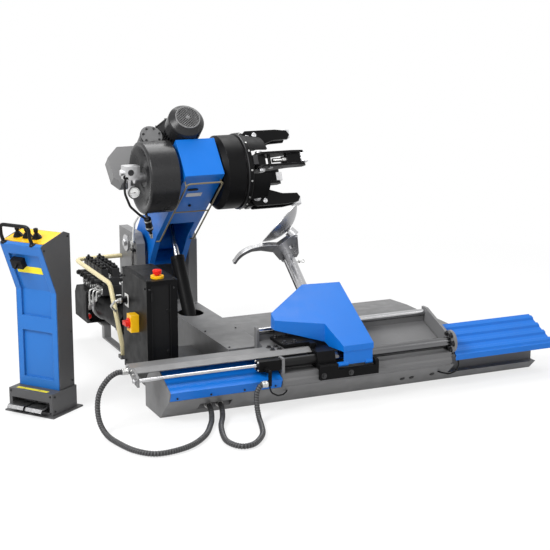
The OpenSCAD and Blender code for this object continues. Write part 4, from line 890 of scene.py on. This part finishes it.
class CHANGER_OT_jaw_parts(ChangerOperator):
    """Bright pins, claws and adjusting screws of the four jaws"""

    bl_idname = "changer.jaw_parts"
    bl_label = "Jaw pins and claws"

    def execute(self, context):
        pivot = [(15, 45.4), (25, 45.4), (25, 50), (23, 52), (21, 52), (21, 58), (18, 62.5), (0, 63.5)]
        link = [(8, 45.4), (15, 45.4), (15, 48), (12, 50), (10.6, 50.4), (0, 51)]
        teeth = [(1173, 182), (1222, 182), (1222, 231)]
        for k in range(5):
            teeth += [(1221 - 9.4 * k, 236), (1213 - 9.4 * k, 230)]
        teeth.append((1173, 230))
        thread = [(0, 0), (13, 0), (13, 3)]
        for k in range(9):
            thread += [(10.6, 5 + 6 * k), (13, 8 + 6 * k)]
        thread += [(19, 58), (21, 60), (21, 82), (19, 84), (0, 84)]
        for i in range(JAW_COUNT):
            jaw, at = f"jaw_{i + 1}", SPINDLE @ jaw_turn(i)
            pins = []
            for side in (ALONG_Y, AGAINST_Y):
                pins.append(shift(turned(pivot, 40), moved(930, 0, 180) @ side))
                pins.append(shift(turned(link, 32), moved(980, 0, 204) @ side))
            for shape, part, finish, place in (
                    (joined(pins), "pins", "milled_steel", at),
                    (prism(teeth, 52, 1.2), "claw", "milled_steel", at @ moved(0, 26, 0) @ AGAINST_Y),
                    (turned(thread, 28), "screw", "zinc_fastener", at @ moved(1006, 0, 188) @ ALONG_X)):
                piece(shape, f"{jaw}_{part}", finish, f"{jaw}_body", place)
        return {"FINISHED"}


class CHANGER_OT_pedestal_parts(ChangerOperator):
    """Gaiters of the joysticks and bare strips on the pedestal"""

    bl_idname = "changer.pedestal_parts"
    bl_label = "Pedestal parts"

    def execute(self, context):
        # The sloping top, how far up it the sticks stand, their middle and their pitch
        run, rise, share, middle, pitch = 160, 33, 0.38, 142.5, 62
        slope = turn("X", math.degrees(math.atan2(rise, run)))
        folds = [(27, 0.2), (27, 3), (25, 4.5)]
        for k in range(4):
            r, z = 22 - 3.6 * k, 7 + 5.4 * k
            folds += [(r, z), (r + 2.4, z + 2.2), (r - 1.2, z + 4.2)]
        folds += [(7.2, 29), (6.2, 30)]
        for i in range(3):
            stick = PEDESTAL @ moved(middle + (i - 1) * pitch, 10 + run * share, 943 + rise * share) @ slope
            gaiter = piece(turned(folds, 40), f"gaiter_{i + 1}", "black_moulding", None, stick)
            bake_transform(gaiter)
        corner = Vector((76, 96, 661)) + Vector(PANEL_UP) * 106 + Vector(PANEL_IN) * 14.4
        strip = shift(slab(0, 0, 164, 42, 1.8, 0.5), moved(*corner) @ turn("X", 90 + PANEL_LEAN))
        base = [shift(slab(x, 34, x + width, 58, 1.2, 0.4), moved(0, 0, 127.8))
                for x, width in ((56, 46), (106, 92), (202, 58))]
        piece(joined([strip, *base]), "bare_strips", "plate_yellow", "base", PEDESTAL)
        return {"FINISHED"}


class CHANGER_OT_hydraulics(ChangerOperator):
    """Coil plugs, pipes, fittings and the hand knob of the hydraulic unit"""

    bl_idname = "changer.hydraulics"
    bl_label = "Hydraulic fittings"

    def execute(self, context):
        self.coils([1341 + 74 * i for i in range(5)])
        self.bell()
        self.pipes()
        self.knob()
        return {"FINISHED"}

    def coils(self, rows):
        """Plugs, nuts and screw plugs of the rows of valves."""
        plug = joined([shift(slab(-15, -22, 15, 22, 15, 3), moved(0, 0, 527)),
                       shift(turned([(0, 0), (8, 0), (8, 9), (6, 13), (0, 13)], 20), moved(0, 8, 541))])
        places = [moved(150 + side, y, 0) for y in rows for side in (-36, 36)]
        piece(repeat(plug, places), "coil_plugs", "black_moulding", "base", MACHINE)
        nut = turned([(0, -0.5), (17, -0.5), (17, 6), (13, 9), (13, 15), (10, 18), (0, 18)], 24)
        ends = [moved(x, y, 449) @ side for y in rows for x, side in ((50, AGAINST_X), (250, ALONG_X))]
        piece(repeat(nut, ends), "coil_nuts", "black_moulding", "base", MACHINE)
        tops = [moved(150, y + d, 475) for y in rows for d in (-16, 16)]
        sides = spots(LEFT, product((90,), (1420, 1500, 1580, 1660), (386, 410)))
        piece(repeat(hex_bolt(17, 9), tops + sides), "valve_plugs", "zinc_fastener", "base", MACHINE)

    def bell(self):
        """Bright bell between motor and tank, over the pump's coupling."""
        profile = [(74, 0), (84, 0), (85.5, 2), (85.5, 10), (83.6, 12), (83.6, 30), (85.5, 32), (85.5, 40),
                   (84, 42.5), (70, 46), (58, 70), (58, 96), (48.6, 96), (48.6, 60), (60, 42), (74, 0)]
        ring = shift(turned(profile, 64), moved(142, 1379, 278) @ ALONG_Y)
        screws = repeat(socket_screw(11, 7), on_circle(moved(142, 1423, 278) @ ALONG_Y, 77, 8, 22))
        piece(joined([ring, screws]), "pump_bell", "cast_steel", "base", MACHINE)

    def pipes(self):
        """Steel pipes from the valve block to pump and tank, with their union nuts."""
        lines = (((92, 1304, 396), (58, 1304, 396), (58, 1304, 340), (58, 1440, 296), (98, 1452, 286)),
                 ((92, 1338, 396), (46, 1338, 396), (46, 1338, 318), (66, 1480, 318)),
                 ((92, 1372, 396), (34, 1372, 396), (34, 1372, 300), (60, 1480, 262)))
        made = [pipe(line, 13, 22) for line in lines]
        places = spots(LEFT, product((90,), (1304, 1338, 1372), (396,)))
        places += spots(FRONT, ((66, 1478, 318), (60, 1478, 262)))
        nuts = repeat(hex_bolt(24, 16), places)
        piece(joined([*made, nuts]), "oil_pipes", "zinc_fastener", "base", MACHINE)
        drain = pipe(((92, 1400, 384), (24, 1400, 384), (20, 1396, 214), (40, 1440, 182), (64, 1480, 180)),
                     18, 40)
        collars = repeat(turned([(8, 0), (13, 0), (13, 18), (11, 22), (8, 22)], 24),
                         [facing((90, 1400, 384), LEFT), facing((64, 1478, 180), FRONT)])
        piece(joined([drain, collars]), "drain_pipe", "black_moulding", "base", MACHINE)

    def knob(self):
        radius = 17
        ball = [(y, radius - x) for x, y in arc(radius, range(15, 180, 15))]
        head = shift(turned([(0, 0), *ball, (0, 2 * radius)], 28), moved(0, 0, 34))
        stem = turned([(0, 0), (9, 0), (9, 6), (6, 8), (6, 36), (0, 36)], 20)
        place = MACHINE @ facing((58, 1478, 212), (-0.35, -1, 0))
        piece(head, "release_knob", "red_moulding", "base", place)
        piece(stem, "release_stem", "zinc_fastener", "base", place)


class CHANGER_OT_cabinet_parts(ChangerOperator):
    """Lid ridges, hinges, socket plate and supply conduit of the electrical cabinet"""

    bl_idname = "changer.cabinet_parts"
    bl_label = "Cabinet parts"

    def execute(self, context):
        trim = [box_shape((x, 197, 699.6), (x + 5, 603, 702), 0.8) for x in (4, 14, 24)]
        trim += [box_shape((x, 193.4, 152), (x + 5, 195.4, 672), 0.8) for x in (27, 132)]
        hinge = turned([(0, 0), (5, 0), (5, 44), (3, 47), (0, 47)], 18)
        trim.append(repeat(hinge, [moved(29, 192, z) for z in (196, 590)]))
        latch = turned([(0, 0), (11, 0), (11, 3), (9, 5), (4, 5), (4, 3), (0, 3)], 24)
        trim.append(repeat(latch, spots(FRONT, product((122,), (203,), (300, 530)))))
        piece(joined(trim), "cabinet_trim", "black_moulding", "base", MACHINE)
        socket = facing((0, 534, 524), LEFT)
        piece(slab(-30, -36, 30, 36, 3.4, 0.8), "socket_plate", "white_moulding", "base", MACHINE @ socket)
        gland = turned([(0, 33), (15, 33), (15, 40), (12, 44), (12, 54), (9, 58), (0, 58)], 24)
        conduit = pipe(((-54, 534, 524), (-72, 536, 522), (-60, 640, 470), (40, 880, 372), (118, 1100, 362),
                        (124, 1120, 362)), 13, 60)
        piece(joined([shift(gland, socket), conduit]), "supply_conduit", "zinc_fastener", "base", MACHINE)
        return {"FINISHED"}


class CHANGER_OT_arm_parts(ChangerOperator):
    """Fan grille, gearbox dish, terminal lid, plates, oil feed and the tower's pipes"""

    bl_idname = "changer.arm_parts"
    bl_label = "Chuck arm parts"

    def execute(self, context):
        self.grille()
        self.dish()
        self.plates()
        self.feed()
        self.tower_pipes()
        return {"FINISHED"}

    def grille(self):
        """Woven wire over the fan's face, held by a ring."""
        radius, pitch, wire = 71, 11, 1.3
        parts = []
        for lay, height in ((40, 0.8), (-40, 2.0)):
            for k in range(-6, 7):
                half = math.sqrt(radius ** 2 - (k * pitch) ** 2)
                bar = slab(-half, k * pitch - wire, half, k * pitch + wire, 1.4)
                parts.append(shift(bar, moved(0, 0, height) @ turn("Z", lay)))
        parts.append(turned([(69, 0), (75, 0), (75, 2.6), (73, 4.4), (70.5, 4.4), (69, 3), (69, 0)], 64))
        parts.append(turned([(0, 0.4), (12, 0.4), (12, 3.4), (9, 5), (0, 5)], 24))
        piece(joined(parts), "fan_grille", "tower_grey_coat", "chuck_arm", MOTOR @ moved(0, 0, 1073.4))

    def dish(self):
        """Turned face of the gearbox: a rolled rim and a hollow round the hub."""
        front = [(206, -0.6), (202, 1.4), (196, 2.8), (188, 3), (182, 1.8), (176, -0.6), (168, -4.6),
                 (154, -12.6), (140, -20.6), (126, -27.6), (114, -31.5), (102, -33), (90, -32), (78, -29),
                 (66, -24), (62, -20)]
        back = [(62, -32), (110, -42), (172, -12), (206, -6), (206, -0.6)]
        piece(turned(front + back, 96), "gearbox_dish", "gloss_casting", "chuck_arm",
              SPINDLE @ moved(243, 0, 0) @ AGAINST_X)

    def plates(self):
        """Lid of the motor's terminals, bare plate, plugs and the cover of the worm."""
        lid = shift(slab(-50, 746, 50, 864, 7, 2.5), moved(135.6, 0, 0) @ turn("Z", 90) @ AGAINST_Y)
        screws = repeat(socket_screw(9, 5), [moved(142.6, y, z) @ ALONG_X for y in (-42, 42) for z in (755, 855)])
        gland = shift(turned([(0, -2), (15, -2), (15, 12), (11, 15), (11, 30), (7, 34), (0, 34)], 24),
                      moved(108, 0, 749) @ turn("X", 180))
        piece(joined([lid, screws, gland]), "terminal_lid", "sand_casting", "chuck_arm",
              MOTOR @ turn("Z", LID_TURN))
        piece(slab(500, -820, 596, -782, 2, 0.6), "bare_plate", "milled_steel", "chuck_arm",
              ARM @ moved(0, 0, -155))
        oval = [(26 * x + (8 if x > 0.01 else -8), 11 * y) for x, y in arc(1, range(-165, 181, 15))]
        plug = shift(prism(oval, 5, 1.5), moved(525, -861, -158))
        cap = shift(turned([(0, 0), (9, 0), (9, 5), (7, 8), (0, 8)], 20), facing((554, -680, -152.6), DOWN))
        piece(joined([plug, cap]), "arm_plugs", "black_moulding", "chuck_arm", ARM)
        cover = prism(arc(66, range(-36, 217, 9)), 3.4, 1)
        piece(cover, "worm_cover_plate", "mid_grey_coat", "chuck_arm", ARM @ moved(352, -889.8, 214) @ AGAINST_Y)

    def feed(self):
        """Oil feed from the union round the gearbox to a filter below it."""
        loop = pipe(((148, -30, 10), (122, -70, -18), (112, -112, -70), (134, -132, -140), (186, -134, -190),
                     (238, -96, -226), (280, -10, -244), (296, 66, -236)), 14, 40)
        nut = shift(hex_bolt(22, 12), facing((150, -30, 12), (-0.3, -0.8, -0.5)))
        piece(joined([loop, nut]), "feed_pipe", "black_moulding", "chuck_arm", UNION)
        port = turned([(0, 1), (9, 1), (10, 4), (16, 4), (18, 2.5), (18, -0.4), (0, -0.4)], 32)
        piece(port, "union_port", "dark_fastener", "chuck_arm", UNION @ moved(172, -44, 40) @ AGAINST_Y)
        place = UNION @ facing((296, 62, -228), (0.34, 0.42, -1))
        body = turned([(0, 0), (7, 0), (7, 22), (16, 28), (21, 34), (21, 118), (16, 126), (9, 130), (9, 152),
                       (0, 152)], 28)
        piece(body, "oil_filter", "black_moulding", "chuck_arm", place)
        bands = [turned([(21.2, z), (22.6, z), (22.6, z + 9), (21.2, z + 9), (21.2, z)], 28) for z in (44, 96)]
        bands.append(turned([(0, 150), (11, 150), (11, 160), (8, 163), (8, 182), (0, 182)], 24))
        piece(joined(bands), "filter_fittings", "zinc_fastener", "chuck_arm", place)

    def tower_pipes(self):
        """Two light pipes up the tower's cheek, held by clips."""
        x, rows = 346, (1452, 1478)
        pipes = [pipe(((262, y, 400), (x, y, 400), (x, y, 440), (x, y, 640)), 13, 18) for y in rows]
        end = turned([(0, 0), (10, 0), (10, 16), (7, 19), (0, 19)], 20)
        ends = repeat(end, [moved(x, y, 636) for y in rows])
        piece(joined([*pipes, ends]), "tower_pipes", "zinc_fastener", "base", MACHINE)
        clips = [box_shape((338, 1442, z), (361, 1488, z + 14), 2) for z in (470, 590)]
        piece(joined(clips), "pipe_clips", "black_moulding", "base", MACHINE)


class CHANGER_OT_chuck_parts(ChangerOperator):
    """Dark band and lug plates of the chuck"""

    bl_idname = "changer.chuck_parts"
    bl_label = "Chuck parts"

    def execute(self, context):
        band = turned([(219, 835), (226.3, 836.5), (227, 838), (227, 841), (226.3, 842.5), (219, 843.5),
                       (219, 835)], 96)
        plates = repeat(slab(871, -28, 899, 28, 5, 1.5),
                        [jaw_turn(i) @ moved(0, 0, 225.8) for i in range(JAW_COUNT)])
        piece(joined([shift(band, ALONG_X), plates]), "chuck_band", "dark_fastener", "chuck", SPINDLE)
        return {"FINISHED"}


class CHANGER_OT_tool_parts(ChangerOperator):
    """Cast mounting hook and the locking pin"""

    bl_idname = "changer.tool_parts"
    bl_label = "Tool parts"

    def execute(self, context):
        self.hook()
        pin = turned([(0, 30), (5, 30), (5, 52), (9, 53), (9, 60), (4, 62), (4, 70), (0, 70)], 20)
        around = [(11 + x, y) for x, y in arc(2.2, range(0, 361, 45))]
        ring = shift(turned(around, 28), moved(0, 0, 79) @ AGAINST_Y)
        piece(joined([pin, ring]), "locking_pin", "zinc_fastener", "tool_arm", POST @ moved(0, 0, 138) @ ALONG_X)
        return {"FINISHED"}

    def hook(self):
        """A merged copy of the hook's solid, remeshed and smoothed into a casting."""
        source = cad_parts["mount_hook"]
        hook = source.copy()
        hook.data = source.data.copy()
        hook.parent = None
        bpy.context.scene.collection.objects.link(hook)
        edit(hook)
        bpy.ops.mesh.remove_doubles(threshold=0.00005)
        bpy.ops.object.mode_set(mode="OBJECT")
        hook.data.remesh_voxel_size = 0.0022
        bpy.ops.object.voxel_remesh()
        smooth = hook.modifiers.new("casting", "SMOOTH")
        smooth.factor = 0.5
        smooth.iterations = 9
        bpy.ops.object.modifier_apply(modifier=smooth.name)
        bpy.ops.object.shade_smooth()
        piece(hook, "cast_hook", "cast_steel", "turning_head", stands_for="mount_hook")


class CHANGER_OT_hose_ends(ChangerOperator):
    """Crimped sleeves where the hoses enter the machine"""

    bl_idname = "changer.hose_ends"
    bl_label = "Hose ends"

    def execute(self, context):
        sleeve = [(14.6, 0), (19, 0), (19, 8), (17.4, 10)]
        for z in (15, 22):
            sleeve += [(17.4, z), (18, z + 1), (17.4, z + 2)]
        sleeve += [(17.4, 29), (16.4, 32), (14.6, 32), (14.6, 0)]
        base = spots(FRONT, ((246, -41, 58), (310, -41, 58))) + spots(LEFT, ((535, -185, 174),))
        piece(repeat(turned(sleeve, 32), base), "hose_sleeves", "zinc_fastener", "base", MACHINE)
        piece(turned(sleeve, 32), "carriage_hose_sleeve", "zinc_fastener", "carriage",
              MACHINE @ facing((-187, -25, 288), LEFT))
        return {"FINISHED"}


CLASSES = (ChangerColours, ChangerSizes, CHANGER_OT_stage, CHANGER_OT_finishes, CHANGER_OT_hoses,
           CHANGER_OT_bent_bars, CHANGER_OT_fasteners, CHANGER_OT_gauge, CHANGER_OT_jaw_parts,
           CHANGER_OT_pedestal_parts, CHANGER_OT_hydraulics, CHANGER_OT_cabinet_parts, CHANGER_OT_arm_parts,
           CHANGER_OT_chuck_parts, CHANGER_OT_tool_parts, CHANGER_OT_hose_ends)
BUILDERS = [c for c in CLASSES if issubclass(c, bpy.types.Operator)]


class CHANGER_PT_panel(bpy.types.Panel):
    """Lists the builders in the sidebar."""

    bl_idname = "CHANGER_PT_panel"
    bl_label = "Tyre changer"
    bl_space_type = "VIEW_3D"
    bl_region_type = "UI"
    bl_category = "Tyre changer"

    def draw(self, context):
        for builder in BUILDERS:
            self.layout.operator(builder.bl_idname)


def register():
    for cls in (*CLASSES, CHANGER_PT_panel):
        bpy.utils.register_class(cls)
    bpy.types.Scene.changer_colours = bpy.props.PointerProperty(type=ChangerColours)
    bpy.types.Scene.changer_sizes = bpy.props.PointerProperty(type=ChangerSizes)


def unregister():
    del bpy.types.Scene.changer_sizes
    del bpy.types.Scene.changer_colours
    for cls in reversed((*CLASSES, CHANGER_PT_panel)):
        bpy.utils.unregister_class(cls)


def main():
    register()
    for builder in BUILDERS:
        group, name = builder.bl_idname.split(".")
        getattr(getattr(bpy.ops, group), name)()


if __name__ == "__main__":
    main()
